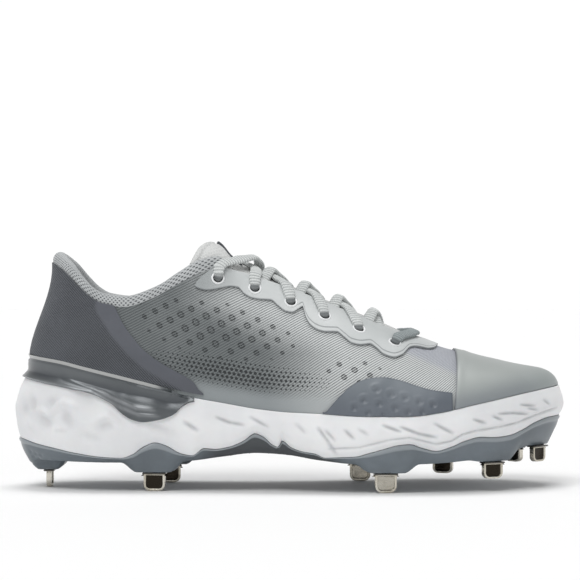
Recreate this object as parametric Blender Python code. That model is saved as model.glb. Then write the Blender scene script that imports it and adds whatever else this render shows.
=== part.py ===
"""Baseball cleat, right shoe: upper with its overlays, tongue, laces, lining, insole, sole and metal studs.

Metres, +Z up, +X to the toe, -Y to the outer (lateral) side. Z = 0 is the floor under the studs.
A wall line is one line of the shoe's side, from the sole's rim up to the collar, throat or ridge.
The lines are counted round the sole: 0 at the toe, then the lateral side, the heel and the medial side.
"""

import functools
import math

import bmesh
import bpy
from mathutils import Matrix, Vector
from mathutils.bvhtree import BVHTree

# Driving sizes of the shoe
LENGTH = 0.300
BALL_WIDTH = 0.102
HEEL_HEIGHT = 0.1235
INSTEP_HEIGHT = 0.119
VAMP_HEIGHT = 0.0795
SOLE_HEIGHT = 0.0686

# Walls, seats and clearances
GAP = 0.0003
UPPER_WALL = 0.0018
FEATHER_INSET = 0.0035
BITE_RIM = 0.0012
INSOLE_THICKNESS = 0.0040
PLATE_LEAST = 0.0030
TONGUE_THICKNESS = 0.0035
TONGUE_CLEARANCE = 0.0010
TONGUE_SHOULDER = 0.5
TONGUE_SHOULDER_LIFT = 0.2
TONGUE_CURL = 1.25
COLLAR_PAD = 0.0055
COLLAR_DEPTH = 0.026
CLIP_THICKNESS = 0.0018
COLLAR_ROLL = 0.0045
COLLAR_SEAT = 0.0005
COLLAR_END = 0.345
COLLAR_FADE = 0.07
OVERLAY_SEAT = 0.0004
OVERLAY_THICKNESS = 0.0009
TOE_CAP_THICKNESS = 0.0008
COUNTER_THICKNESS = 0.0007
WEBBING_THICKNESS = 0.0008
WEBBING_WIDTH = 0.8
WEBBING_STOP = 0.12
EYELET_BORE = 0.0026
EYELET_RIM = 0.0009
EYELET_PROUD = 0.0005
EYELET_SIDES = 6
LACE_WIDTH = 0.0063
LACE_THICKNESS = 0.0024
LACE_CLEARANCE = 0.0008
LACE_TILT = 0.5

# Studs
STUD_WIDTH = 0.0115
STUD_THICKNESS = 0.0026
STUD_BASE = 0.0012
STUD_CORNER = 0.0030
STUD_MARGIN = 0.0022
STUD_NECK = 0.92
POD_DRAFT = 0.0030
POD_SINK = 0.0010

POD_HALF_LENGTH = 0.0105
POD_HALF_WIDTH = 0.0065
POD_SQUARE = 0.7

# The plate: its side's inset at the top, its turn under, the flat at its edge and the blend to the middle
EDGE_INSET = 0.0105
EDGE_TURN = 0.0012
EDGE_TUCK = 0.0045
EDGE_FLAT = 0.006
EDGE_BLEND = 0.018
ARCH_BOTTOM = 0.0012

# How finely the forms are divided
LINES = 72
WALL_ROWS = 6
SOLE_STRIPS = 4
LACE_SAMPLES = 32
LACE_SLACK = 0.00016
ROUND = list(range(LINES)) + [0]
FEATHER_ROW = -0.45
UPPER_SHARES = [-1, FEATHER_ROW] + [i / WALL_ROWS for i in range(WALL_ROWS + 1)]

# Wall lines and shares where pieces begin and end
CAP_SEAM = 11
CAP_SEAM_LEAN = 0.55
SEAM_GAP = 0.06
CLIP_FRONT = 22
CLIP_ROWS = 4
OVERLAY_LINES = [16.6, 16, 15, 14, 13, 12, CAP_SEAM + SEAM_GAP]
EYESTAY_LINES = [22, 21, 20, 19, 18, 17, 16, 15, 14.5, 14, 13.5, 13, 12.5, 12, 11.45]
COUNTER_TOP = 0.985
LEAST_FILM = 0.02
LACE_TUCKED = 0.74
LACE_BAR_MARGIN = 0.36
LINE_STEP = 0.1
SHARE_STEP = 0.02


class Table:
    """A table of named columns, read at any place along its first column on a smooth curve."""

    def __init__(self, columns, rows):
        self.names = columns.split()
        self.rows = rows
        self.places = [row[0] for row in rows]

    def slope(self, index, column):
        """The curve's slope at a row, flat at a peak or a dip so that it never overshoots."""
        if index in (0, len(self.rows) - 1):
            near = min(index, len(self.rows) - 2)
            run = self.places[near + 1] - self.places[near]
            return (self.rows[near + 1][column] - self.rows[near][column]) / run
        before, here, after = self.rows[index - 1 : index + 2]
        back = (here[column] - before[column]) / (here[0] - before[0])
        ahead = (after[column] - here[column]) / (after[0] - here[0])
        return 0.0 if back * ahead <= 0 else 2 * back * ahead / (back + ahead)

    @functools.lru_cache(maxsize=None)
    def at(self, place, name):
        column = self.names.index(name)
        place = min(max(place, self.places[0]), self.places[-1])
        index = max(i for i, start in enumerate(self.places[:-1]) if start <= place)
        run = self.places[index + 1] - self.places[index]
        t = (place - self.places[index]) / run
        low, high = self.rows[index][column], self.rows[index + 1][column]
        bend_low, bend_high = self.slope(index, column) * run, self.slope(index + 1, column) * run
        return (
            low * (2 * t**3 - 3 * t**2 + 1)
            + high * (3 * t**2 - 2 * t**3)
            + bend_low * (t**3 - 2 * t**2 + t)
            + bend_high * (t**3 - t**2)
        )


# The sole. along is a share of LENGTH; centre, half and bite_in are shares of BALL_WIDTH;
# bite, bed, edge and under are shares of SOLE_HEIGHT.
# half is before the round ends close it, and bite_in is how far the upper stands in from the bulge.
SOLE = Table(
    "along centre half bite_in bite bed edge under",
    [
        (0.00, 0.000, 0.318, 0.083, 1.000, 0.630, 0.400, 0.250),
        (0.03, 0.000, 0.326, 0.066, 0.987, 0.628, 0.365, 0.235),
        (0.08, 0.000, 0.340, 0.048, 0.960, 0.618, 0.325, 0.230),
        (0.13, -0.002, 0.355, 0.040, 0.912, 0.600, 0.295, 0.225),
        (0.18, -0.003, 0.365, 0.036, 0.860, 0.580, 0.280, 0.222),
        (0.24, -0.005, 0.368, 0.033, 0.795, 0.550, 0.350, 0.222),
        (0.28, -0.010, 0.362, 0.032, 0.752, 0.525, 0.330, 0.225),
        (0.32, -0.015, 0.356, 0.031, 0.712, 0.500, 0.278, 0.235),
        (0.38, -0.024, 0.353, 0.030, 0.665, 0.472, 0.330, 0.270),
        (0.44, -0.036, 0.361, 0.030, 0.620, 0.445, 0.430, 0.300),
        (0.49, -0.045, 0.380, 0.030, 0.598, 0.428, 0.360, 0.290),
        (0.55, -0.049, 0.407, 0.030, 0.587, 0.412, 0.290, 0.250),
        (0.62, -0.038, 0.451, 0.029, 0.570, 0.402, 0.275, 0.222),
        (0.68, -0.020, 0.479, 0.029, 0.568, 0.400, 0.345, 0.220),
        (0.71, -0.010, 0.488, 0.029, 0.570, 0.402, 0.370, 0.222),
        (0.76, 0.008, 0.490, 0.029, 0.595, 0.412, 0.305, 0.230),
        (0.82, 0.030, 0.474, 0.030, 0.650, 0.440, 0.410, 0.252),
        (0.87, 0.052, 0.454, 0.031, 0.692, 0.475, 0.415, 0.285),
        (0.92, 0.076, 0.434, 0.033, 0.733, 0.520, 0.440, 0.335),
        (0.97, 0.096, 0.416, 0.037, 0.765, 0.560, 0.510, 0.395),
        (1.00, 0.106, 0.406, 0.040, 0.780, 0.580, 0.530, 0.425),
    ],
)

# The upper's top edge. line is the wall line's place on the sole; reach is its place on the edge, both
# shares of LENGTH; centre and half are shares of BALL_WIDTH; top is a share of HEEL_HEIGHT at the collar,
# of the rise from VAMP_HEIGHT to INSTEP_HEIGHT at the throat, and of VAMP_HEIGHT on the ridge.
EDGE_COLUMNS = "line reach centre half top"
COLLAR_EDGE = [
    (0.000, 0.0690, 0.000, 0.165, 0.996),
    (0.020, 0.0770, 0.000, 0.180, 0.985),
    (0.050, 0.0910, 0.000, 0.200, 0.962),
    (0.075, 0.1060, 0.000, 0.222, 0.930),
    (0.100, 0.1240, 0.000, 0.240, 0.886),
    (0.125, 0.1440, 0.000, 0.254, 0.842),
    (0.150, 0.1660, 0.000, 0.262, 0.814),
    (0.200, 0.2060, 0.000, 0.270, 0.802),
    (0.250, 0.2560, 0.000, 0.264, 0.840),
    (0.300, 0.3020, 0.000, 0.245, 0.903),
    (0.340, 0.3410, 0.000, 0.220, 0.949),
]
THROAT_EDGE = [
    (0.372, 0.3730, 0.000, 0.195, 1.0000),
    (0.400, 0.4000, 0.000, 0.180, 0.9488),
    (0.433, 0.4330, 0.000, 0.172, 0.8705),
    (0.500, 0.5000, 0.000, 0.157, 0.6957),
    (0.560, 0.5600, 0.003, 0.142, 0.5119),
    (0.620, 0.6200, 0.006, 0.128, 0.3222),
    (0.683, 0.6830, 0.014, 0.115, 0.1324),
]
RIDGE = [
    (0.742, 0.7420, 0.028, 0.112, 1.000),
    (0.780, 0.7750, 0.042, 0.112, 0.953),
    (0.820, 0.8100, 0.056, 0.112, 0.920),
    (0.860, 0.8450, 0.068, 0.112, 0.882),
    (0.900, 0.8760, 0.080, 0.112, 0.855),
    (0.940, 0.9050, 0.090, 0.112, 0.829),
    (0.970, 0.9280, 0.098, 0.112, 0.813),
    (1.000, 0.9450, 0.104, 0.112, 0.802),
]
THROAT_FRONT = RIDGE[0][0]
THROAT_ROUND_FROM = 0.620


def raised(rows, low, high):
    """The rows with their last column as a real height: low at share 0 and high at share 1."""
    return [row[:-1] + (low + row[-1] * (high - low),) for row in rows]


TOP_EDGE = Table(
    EDGE_COLUMNS,
    raised(COLLAR_EDGE, 0, HEEL_HEIGHT)
    + raised(THROAT_EDGE, VAMP_HEIGHT, INSTEP_HEIGHT)
    + raised(RIDGE, 0, VAMP_HEIGHT),
)

# How a wall line bends between the rim and the top edge. rise and drop are shares of the line's height,
# out is a share of BALL_WIDTH, and lean is a share of the plan distance between rim and top edge.
BEND = Table(
    "line rise out lean drop",
    [
        (0.00, 0.30, 0.004, -0.14, 0.36),
        (0.05, 0.33, 0.012, 0.05, 0.36),
        (0.12, 0.36, 0.016, 0.25, 0.36),
        (0.22, 0.38, 0.014, 0.30, 0.35),
        (0.30, 0.40, 0.010, 0.45, 0.30),
        (0.40, 0.42, 0.006, 0.58, 0.20),
        (0.50, 0.43, 0.005, 0.56, 0.17),
        (0.60, 0.46, 0.003, 0.60, 0.13),
        (0.70, 0.50, 0.002, 0.60, 0.09),
        (0.78, 0.55, 0.002, 0.60, 0.04),
        (0.86, 0.60, 0.002, 0.60, 0.03),
        (0.94, 0.62, 0.002, 0.58, 0.05),
        (1.00, 0.62, 0.002, 0.55, 0.08),
    ],
)

# Round ends of plan outlines: how far they reach, as a share of LENGTH, and how square they are
HEEL_ROUND = (0.16, 2.3)
TOE_ROUND = (0.20, 2.2)


def place_of(line):
    """Share of LENGTH from the heel at which a wall line leaves the sole."""
    return 0.5 * (1 + math.cos(2 * math.pi * line / LINES))


def side_of(line):
    """-1 on the lateral side, 1 on the medial side and 0 on the centre line."""
    half_round = LINES / 2
    line = line % LINES
    if min(line, abs(line - half_round)) < 1e-9:
        return 0
    return -1 if line < half_round else 1


def round_ends(place):
    """How far the outline is open at a place: 0 at the tips and 1 along the middle."""
    reach, square = HEEL_ROUND
    if place < reach:
        return max(0.0, 1 - (1 - place / reach) ** square) ** (1 / square)
    reach, square = TOE_ROUND
    if place > 1 - reach:
        return max(0.0, 1 - (1 - (1 - place) / reach) ** square) ** (1 / square)
    return 1.0


def throat_round(place):
    """How far the throat is open: it closes in a round end at its front."""
    if place >= THROAT_FRONT:
        return 0.0
    if place <= THROAT_ROUND_FROM:
        return 1.0
    return math.sqrt(1 - ((place - THROAT_ROUND_FROM) / (THROAT_FRONT - THROAT_ROUND_FROM)) ** 2)


def outline(line):
    """Point of the sole's widest outline, in plan."""
    place = place_of(line)
    half = SOLE.at(place, "half") * round_ends(place)
    y = BALL_WIDTH * (SOLE.at(place, "centre") + side_of(line) * half)
    return Vector((LENGTH * (place - 0.5), y, 0.0))


def outward(line):
    """Direction away from the shoe, in plan, at a wall line."""
    step = 0.05
    along = outline(line + step) - outline(line - step)
    return Vector((-along.y, along.x, 0.0)).normalized()


def ring_point(line, inset, height):
    """Point set in from the outline, at a height."""
    point = outline(line) - outward(line) * inset
    return Vector((point.x, point.y, height))


def sole_height(line, name):
    return SOLE_HEIGHT * SOLE.at(place_of(line), name)


def bite_point(line):
    """Where the upper's outside meets the sole's rim."""
    inset = BALL_WIDTH * SOLE.at(place_of(line), "bite_in")
    return ring_point(line, inset, sole_height(line, "bite"))


def feather_point(line):
    """The upper's lowest point, inside the rim."""
    inset = BALL_WIDTH * SOLE.at(place_of(line), "bite_in") + FEATHER_INSET
    return ring_point(line, inset, sole_height(line, "bed"))


def top_point(line):
    """The upper's highest point: on the collar, on the throat's edge, or on the ridge before it."""
    place = place_of(line)
    half = TOP_EDGE.at(place, "half") * throat_round(place)
    if place < HEEL_ROUND[0]:
        half *= round_ends(place)
    y = BALL_WIDTH * (TOP_EDGE.at(place, "centre") + side_of(line) * half)
    return Vector((LENGTH * (TOP_EDGE.at(place, "reach") - 0.5), y, TOP_EDGE.at(place, "top")))


def wall_point(line, share):
    """Point of the upper's outside: share 0 is at the rim, 1 at the top edge and -1 at the feather."""
    bite = bite_point(line)
    if share <= 0:
        return bite.lerp(feather_point(line), -share)
    top = top_point(line)
    place = place_of(line)
    height = top.z - bite.z
    across = Vector((bite.x - top.x, bite.y - top.y, 0.0))
    low = bite + outward(line) * BALL_WIDTH * BEND.at(place, "out")
    low.z += height * BEND.at(place, "rise")
    high = top + across * BEND.at(place, "lean")
    high.z -= height * BEND.at(place, "drop")
    rest = 1 - share
    return (
        bite * rest**3 + low * 3 * rest**2 * share + high * 3 * rest * share**2 + top * share**3
    )


def weld(line, share):
    """One key for the points that lateral and medial lines share on the ridge."""
    line = line % LINES
    if share == 1 and place_of(line) >= THROAT_FRONT:
        line = min(line, LINES - line)
    return (line, share)


def material(name, colour, roughness, metallic=0.0):
    made = bpy.data.materials.new(name)
    made.use_nodes = True
    shader = made.node_tree.nodes["Principled BSDF"]
    shader.inputs["Base Color"].default_value = (*colour, 1.0)
    shader.inputs["Roughness"].default_value = roughness
    shader.inputs["Metallic"].default_value = metallic
    return made


def finished(name, points, faces, look, smooth_angle=35):
    """An object from points and faces, with its faces turned outwards."""
    mesh = bpy.data.meshes.new(name)
    mesh.from_pydata(points, [], faces)
    shape = bmesh.new()
    shape.from_mesh(mesh)
    bmesh.ops.recalc_face_normals(shape, faces=shape.faces)
    if shape.calc_volume(signed=True) < 0:
        bmesh.ops.reverse_faces(shape, faces=shape.faces)
    bmesh.ops.triangulate(shape, faces=shape.faces)
    shape.to_mesh(mesh)
    shape.free()
    mesh.shade_smooth()
    mesh.set_sharp_from_angle(angle=math.radians(smooth_angle))
    mesh.materials.append(look)
    made = bpy.data.objects.new(name, mesh)
    bpy.context.scene.collection.objects.link(made)
    return made


def skin(faces, point):
    """Points of a sheet by key, each with its direction out of the sheet."""
    places = {key: point(*key) for face in faces for key in face}
    outs = {key: Vector() for key in places}
    for face in faces:
        a, b, c = (places[key] for key in face)
        slant = (b - a).cross(c - a)
        for key in face:
            outs[key] += slant
    return places, {key: out.normalized() for key, out in outs.items()}


def shell(name, faces, point, low, high, look):
    """A closed solid between two offsets of a sheet of triangles. Offsets may follow the key."""
    places, outs = skin(faces, point)
    keys = sorted(places)
    number = {key: i for i, key in enumerate(keys)}
    count = len(keys)
    points = []
    for offset in (high, low):
        for key in keys:
            away = offset(*key) if callable(offset) else offset
            points.append(places[key] + outs[key] * away)
    outer = [[number[key] for key in face] for face in faces]
    made = outer + [[i + count for i in reversed(face)] for face in outer]
    used = {}
    for face in outer:
        for start, end in zip(face, face[1:] + face[:1]):
            used.setdefault(frozenset((start, end)), []).append((start, end))
    for edges in used.values():
        if len(edges) == 1:
            start, end = edges[0]
            made.append([end, start, start + count])
            made.append([end, start + count, end + count])
    return finished(name, points, made, look)


def grid_faces(rows, columns, key=lambda row, column: (row, column)):
    """Triangles of a grid, as keys, left out where two corners are one."""
    made = []
    for row, beside in zip(rows, rows[1:]):
        for low, high in zip(columns, columns[1:]):
            corners = [key(row, low), key(row, high), key(beside, high), key(beside, low)]
            for face in ([corners[0], corners[1], corners[2]], [corners[0], corners[2], corners[3]]):
                if len(set(face)) == 3:
                    made.append(face)
    return made


def rings_solid(name, rings, look, strips=1, low_sag=None, high_sag=None):
    """A closed solid from rings stacked from the bottom cap round to the top cap."""
    points = [point for ring in rings for point in ring]
    faces = []
    for level in range(len(rings) - 1):
        for line in range(LINES):
            beside = (line + 1) % LINES
            here, above = level * LINES, (level + 1) * LINES
            faces.append([here + line, here + beside, above + line])
            faces.append([here + beside, above + beside, above + line])
    for level, sag in ((0, low_sag), (len(rings) - 1, high_sag)):
        faces += cap_faces(points, rings[level], level * LINES, strips if sag else 1, sag)
    return finished(name, points, faces, look)


def cap_faces(points, ring, first, strips, sag):
    """Faces across a ring from lateral to medial. sag(point, share) sets the height of the inner points."""
    half_round = LINES // 2
    rows = [[first]]
    for line in range(1, half_round):
        start, end = ring[line], ring[LINES - line]
        row = [first + line]
        for step in range(1, strips):
            point = start.lerp(end, step / strips)
            if sag:
                point.z = sag(point, step / strips)
            points.append(point)
            row.append(len(points) - 1)
        rows.append(row + [first + LINES - line])
    rows.append([first + half_round])
    made = []
    for row, beside in zip(rows, rows[1:]):
        if len(row) == 1:
            made += [[row[0], beside[i], beside[i + 1]] for i in range(strips)]
        elif len(beside) == 1:
            made += [[beside[0], row[i + 1], row[i]] for i in range(strips)]
        else:
            made += [[row[i], beside[i], beside[i + 1], row[i + 1]] for i in range(strips)]
    return made


# The upper

def upper(look):
    return shell("upper", grid_faces(ROUND, UPPER_SHARES, weld), wall_point, -UPPER_WALL, 0.0, look)


# The sole

SIDE_WIDEST = 0.6
SIDE_UPPER = 0.3
SIDE_LOWER = 0.85
SIDE_SHAPE = Table(
    "depth inset",
    [(0.0, 0.62), (0.12, 0.48), (0.35, 0.16), (SIDE_WIDEST, 0.0), (SIDE_LOWER, 0.10), (1.0, 0.24)],
)

# Hollows between the side's ribs, on both sides of the shoe: wall lines at each depth, and how far in
HOLLOW_DEEP = 0.0013
HOLLOW_SOFT = 0.0008
SIDE_HOLLOWS = [
    (SIDE_UPPER, (34, 32, 30, 28), HOLLOW_DEEP),
    (SIDE_WIDEST, (33, 31, 29, 27), HOLLOW_DEEP),
    (SIDE_LOWER, (34, 32, 30), HOLLOW_SOFT),
    (SIDE_UPPER, (23, 21, 19, 17), HOLLOW_SOFT),
    (SIDE_WIDEST, (22, 20, 18, 16), HOLLOW_SOFT),
    (SIDE_UPPER, (15, 13, 11, 9, 7, 5), HOLLOW_SOFT),
    (SIDE_WIDEST, (10, 8, 6, 4), HOLLOW_SOFT),
]


def hollow(line, depth):
    """How far the side stands in between its ribs."""
    beside = min(line, LINES - line)
    return sum(deep for level, lines, deep in SIDE_HOLLOWS if level == depth and beside in lines)


def side_point(line, depth, offset=0.0):
    """Point of the midsole's side: depth 0 is at the rim and 1 at the plate. offset is outwards."""
    place = place_of(line)
    rim = BALL_WIDTH * SOLE.at(place, "bite_in")
    if depth <= SIDE_WIDEST:
        inset = rim * SIDE_SHAPE.at(depth, "inset")
    else:
        inset = EDGE_INSET * SIDE_SHAPE.at(depth, "inset")
    point = ring_point(line, inset - offset, sole_height(line, "bite") + BITE_RIM)
    point.z += (edge_height(point.x) + GAP - point.z) * depth
    return point


def edge_height(x):
    """Height at which the plate's side meets the midsole's."""
    return SOLE_HEIGHT * SOLE.at(x / LENGTH + 0.5, "edge")


def under_side(point, share):
    """Height of the midsole's underside between its edges."""
    return plate_top(point.x, point.y) + GAP


def edge_distance(x, y):
    """How far a point lies inside the sole's outline, taken across and along the shoe."""
    place = x / LENGTH + 0.5
    half = SOLE.at(place, "half") * round_ends(place)
    across = BALL_WIDTH * half - abs(y - BALL_WIDTH * SOLE.at(place, "centre"))
    return max(0.0, min(across, LENGTH * place, LENGTH * (1 - place)))


def plate_top(x, y):
    """Height of the plate's upper face: high at its edges and low along the middle."""
    edge = edge_height(x)
    middle = SOLE_HEIGHT * SOLE.at(x / LENGTH + 0.5, "under") + PLATE_LEAST + ARCH_BOTTOM
    blend = min(1.0, max(0.0, edge_distance(x, y) - EDGE_FLAT) / EDGE_BLEND)
    blend = blend * blend * (3 - 2 * blend)
    return max(edge + (middle - edge) * blend, middle)


def midsole(look):
    rings = []
    for depth in (1.0, SIDE_LOWER, SIDE_WIDEST, SIDE_UPPER, 0.0):
        rings.append([side_point(line, depth, -hollow(line, depth)) for line in range(LINES)])
    seats = []
    for share in (0.0, FEATHER_ROW, -1.0):
        ring = []
        for line in range(LINES):
            point = wall_point(line, share) + outward(line) * GAP
            if share == 0:
                point.z += BITE_RIM
            ring.append(point)
        seats.append(ring)
    for point in seats[-1]:
        point.z -= GAP
    return rings_solid("midsole", rings + seats, look, SOLE_STRIPS, low_sag=under_side)


def plate(look):
    """The moulded plate under the midsole, before its pods are joined."""
    top, middle, low = [], [], []
    for line in range(LINES):
        under = sole_height(line, "under")
        inset = EDGE_INSET * SIDE_SHAPE.at(1.0, "inset")
        point = ring_point(line, inset, 0.0)
        point.z = edge_height(point.x)
        top.append(point)
        middle.append(ring_point(line, inset + EDGE_TURN, 0.5 * (point.z + under)))
        low.append(ring_point(line, inset + EDGE_TUCK, under))
    return rings_solid(
        "outsole_plate",
        [low, middle, top],
        look,
        SOLE_STRIPS,
        low_sag=lambda point, share: point.z + ARCH_BOTTOM * math.sin(math.pi * share),
        high_sag=lambda point, share: plate_top(point.x, point.y),
    )


# Studs. Each row: name, place from the heel as a share of LENGTH, place to the side as a share of
# BALL_WIDTH, height of its tip as a share of SOLE_HEIGHT, length and turn about Z in degrees.
STUDS = [
    ("stud_heel_rear", 0.062, 0.000, 0.000, 0.0095, 90),
    ("stud_heel_lateral", 0.258, -0.262, 0.000, 0.0098, -8),
    ("stud_heel_medial", 0.276, 0.235, 0.000, 0.0098, 8),
    ("stud_ball_lateral", 0.667, -0.375, 0.000, 0.0104, 8),
    ("stud_ball_medial", 0.630, 0.320, 0.000, 0.0104, -8),
    ("stud_fore_lateral", 0.857, -0.300, 0.100, 0.0090, 25),
    ("stud_fore_medial", 0.787, 0.400, 0.052, 0.0088, -20),
    ("stud_toe_lateral", 0.945, -0.110, 0.210, 0.0088, 50),
    ("stud_toe_medial", 0.917, 0.300, 0.160, 0.0088, -50),
]


def oval(centre, half_x, half_y, turn, height, sides=8):
    """Points of a rounded rectangle about a centre, in plan."""
    made = []
    for i in range(sides):
        angle = 2 * math.pi * (i + 0.5) / sides
        x = math.copysign(abs(math.cos(angle)) ** POD_SQUARE, math.cos(angle)) * half_x
        y = math.copysign(abs(math.sin(angle)) ** POD_SQUARE, math.sin(angle)) * half_y
        point = Vector((x, y, 0.0))
        point.rotate(Matrix.Rotation(turn, 3, "Z"))
        made.append(Vector((centre.x + point.x, centre.y + point.y, height)))
    return made


def prism(name, rings, look):
    """A closed solid from rings of the same count, stacked from one flat end to the other."""
    count = len(rings[0])
    points = [point for ring in rings for point in ring]
    faces = [list(range(count)), [len(points) - 1 - i for i in range(count)]]
    for level in range(len(rings) - 1):
        for i in range(count):
            beside = (i + 1) % count
            here, above = level * count, (level + 1) * count
            faces.append([here + i, here + beside, above + beside, above + i])
    return finished(name, points, faces, look)


def stud_place(row):
    return Vector((LENGTH * (row[1] - 0.5), BALL_WIDTH * row[2], SOLE_HEIGHT * row[3]))


def pod(row, look):
    """The raised block of the plate that carries a stud."""
    place = stud_place(row)
    turn = math.radians(row[5])
    foot = place.z + row[4] + GAP
    top = oval(place, POD_HALF_LENGTH + POD_DRAFT, POD_HALF_WIDTH + POD_DRAFT, turn, 0.0)
    for point in top:
        share = point.x / LENGTH + 0.5
        under = SOLE_HEIGHT * SOLE.at(share, "under")
        point.z = under + PLATE_LEAST + ARCH_BOTTOM - 2 * POD_SINK
    low = oval(place, POD_HALF_LENGTH, POD_HALF_WIDTH, turn, foot)
    return prism(row[0] + "_pod", [low, top], look)


def stud(row, look):
    """A pressed metal blade under its flat base."""
    place = stud_place(row)
    turn = math.radians(row[5])
    tip = place.z
    top = tip + row[4]
    base_half = (POD_HALF_LENGTH - STUD_MARGIN, POD_HALF_WIDTH - STUD_MARGIN)
    points, faces = [], []
    half, thick = STUD_WIDTH / 2, STUD_THICKNESS / 2
    neck = top - STUD_BASE
    profile = [(-half * STUD_NECK, neck), (-half, tip + STUD_CORNER)]
    profile += [(-half + STUD_CORNER, tip), (half - STUD_CORNER, tip)]
    profile += [(half, tip + STUD_CORNER), (half * STUD_NECK, neck)]
    for side in (-1, 1):
        for x, z in profile:
            points.append(Vector((x, side * thick, z)))
    count = len(profile)
    faces.append(list(range(count)))
    faces.append([2 * count - 1 - i for i in range(count)])
    for i in range(count - 1):
        faces.append([i, i + 1, count + i + 1, count + i])
    ring = [(-base_half[0], -base_half[1]), (base_half[0], -base_half[1])]
    ring += [(base_half[0], base_half[1]), (-base_half[0], base_half[1])]
    first = len(points)
    for z in (neck, top):
        points += [Vector((x, y, z)) for x, y in ring]
    faces.append([first + 4 + i for i in range(4)])
    for i in range(4):
        beside = (i + 1) % 4
        faces.append([first + i, first + beside, first + 4 + beside, first + 4 + i])
    corners = [0, count - 1, 2 * count - 1, count]
    for i in range(4):
        beside = (i + 1) % 4
        faces.append([first + i, first + beside, corners[beside], corners[i]])
    for point in points:
        point.rotate(Matrix.Rotation(turn, 3, "Z"))
        point.x += place.x
        point.y += place.y
    return finished(row[0], points, faces, look)


def union(base, others):
    """Joins other solids to a base, and keeps them as hidden guides."""
    for other in others:
        joint = base.modifiers.new(other.name, "BOOLEAN")
        joint.operation = "UNION"
        joint.solver = "EXACT"
        joint.object = other
        other.hide_render = True
        other.display_type = "WIRE"


# Insole and tongue

def insole(look):
    """The sock liner on the footbed, inside the upper's feather."""
    low, high = [], []
    inset = UPPER_WALL + GAP
    for line in range(LINES):
        foot = wall_point(line, -1.0) - outward(line) * inset
        rise = INSOLE_THICKNESS / (sole_height(line, "bite") - sole_height(line, "bed"))
        above = wall_point(line, -1.0 + rise) - outward(line) * inset
        low.append(foot)
        high.append(above)
    return rings_solid("insole", [low, high], look)


# The tongue inside the throat. along is a share of LENGTH, height is the spine's, as a share of the
# throat edge's height there, and tuck is how far down the wall line the side reaches inside the upper.
TONGUE = Table(
    "along height tuck",
    [
        (0.400, 1.0234, 0.20),
        (0.433, 1.0157, 0.20),
        (0.500, 1.0211, 0.20),
        (0.560, 1.0239, 0.20),
        (0.620, 1.0271, 0.20),
        (0.680, 1.0285, 0.18),
        (0.715, 1.0091, 0.14),
    ],
)
# The tongue above the throat, in shares of LENGTH, INSTEP_HEIGHT, BALL_WIDTH, INSTEP_HEIGHT and LENGTH
TONGUE_TOP = [
    # along, height, half, drop and sweep of the free end's corners
    (0.374, 1.042, 0.165, 0.150, 0.000),
    (0.364, 1.085, 0.170, 0.120, 0.018),
    (0.352, 1.128, 0.172, 0.105, 0.034),
]


def tongue_line(place, side):
    """The wall line at a place, on one side."""
    line = LINES * math.acos(2 * place - 1) / (2 * math.pi)
    return line if side < 0 else LINES - line


def tongue_section(place):
    """Points across the tongue's upper face where the upper holds it."""
    tuck = TONGUE.at(place, "tuck")
    centre = BALL_WIDTH * TOP_EDGE.at(place, "centre")
    height = TOP_EDGE.at(place, "top") * TONGUE.at(place, "height")
    middle = Vector((LENGTH * (place - 0.5), centre, height))
    halves = []
    for side in (-1, 1):
        line = tongue_line(place, side)
        half = []
        for share in (1 - tuck, 1 - tuck / 2, 1.0):
            point = wall_point(line, share)
            slope = point - wall_point(line, share - 2 * SHARE_STEP)
            away = Vector((0.0, side * slope.z, -side * slope.y)).normalized()
            half.append(point - away * (UPPER_WALL + TONGUE_CLEARANCE))
        shoulder = half[-1].lerp(middle, TONGUE_SHOULDER)
        shoulder.z += TONGUE_SHOULDER_LIFT * (middle.z - half[-1].z)
        halves.append(half + [shoulder])
    return halves[0] + [middle] + list(reversed(halves[1]))


def free_section(row):
    """Points across the tongue's upper face above the throat."""
    along, height, half, drop, sweep = row
    made = []
    for i in range(9):
        across = (i - 4) / 4
        made.append(
            Vector(
                (
                    LENGTH * (along - 0.5 - sweep * across**2),
                    BALL_WIDTH * half * math.sin(across * TONGUE_CURL) / math.sin(TONGUE_CURL),
                    INSTEP_HEIGHT * (height - drop * across**2),
                )
            )
        )
    return made


def tongue_sections():
    sections = [tongue_section(place) for place in reversed(TONGUE.places)]
    return sections + [free_section(row) for row in TONGUE_TOP]


def tongue(look):
    """A padded sheet from under the vamp up to its free end."""
    sections = tongue_sections()
    rows, columns = list(range(len(sections))), list(range(len(sections[0])))
    return shell(
        "tongue",
        grid_faces(rows, columns),
        lambda row, column: sections[row][column],
        -TONGUE_THICKNESS,
        0.0,
        look,
    )


# Overlays on the upper

# The counter's top edge before the collar, as a share of HEEL_HEIGHT
COUNTER_EDGE = Table(
    "along top",
    [
        (0.172, 0.800),
        (0.191, 0.712),
        (0.211, 0.639),
        (0.234, 0.592),
        (0.285, 0.506),
        (0.318, 0.462),
        (0.341, 0.394),
    ],
)
# The side overlay's top edge, as a share of VAMP_HEIGHT
OVERLAY_EDGE = Table(
    "along top",
    [
        (0.555, 0.515),
        (0.572, 0.586),
        (0.590, 0.665),
        (0.609, 0.732),
        (0.630, 0.768),
        (0.649, 0.771),
        (0.682, 0.752),
        (0.749, 0.686),
        (0.790, 0.660),
    ],
)
# The eyestay's lower edge, as a share of the top edge's own height at each place
EYESTAY_EDGE = Table(
    "along low",
    [
        (0.322, 0.9447),
        (0.353, 0.9049),
        (0.390, 0.9215),
        (0.413, 0.8989),
        (0.456, 0.9170),
        (0.500, 0.8877),
        (0.544, 0.8448),
        (0.580, 0.8702),
        (0.607, 0.8371),
        (0.639, 0.8673),
        (0.671, 0.8356),
        (0.699, 0.8652),
        (0.750, 0.9751),
    ],
)
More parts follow.
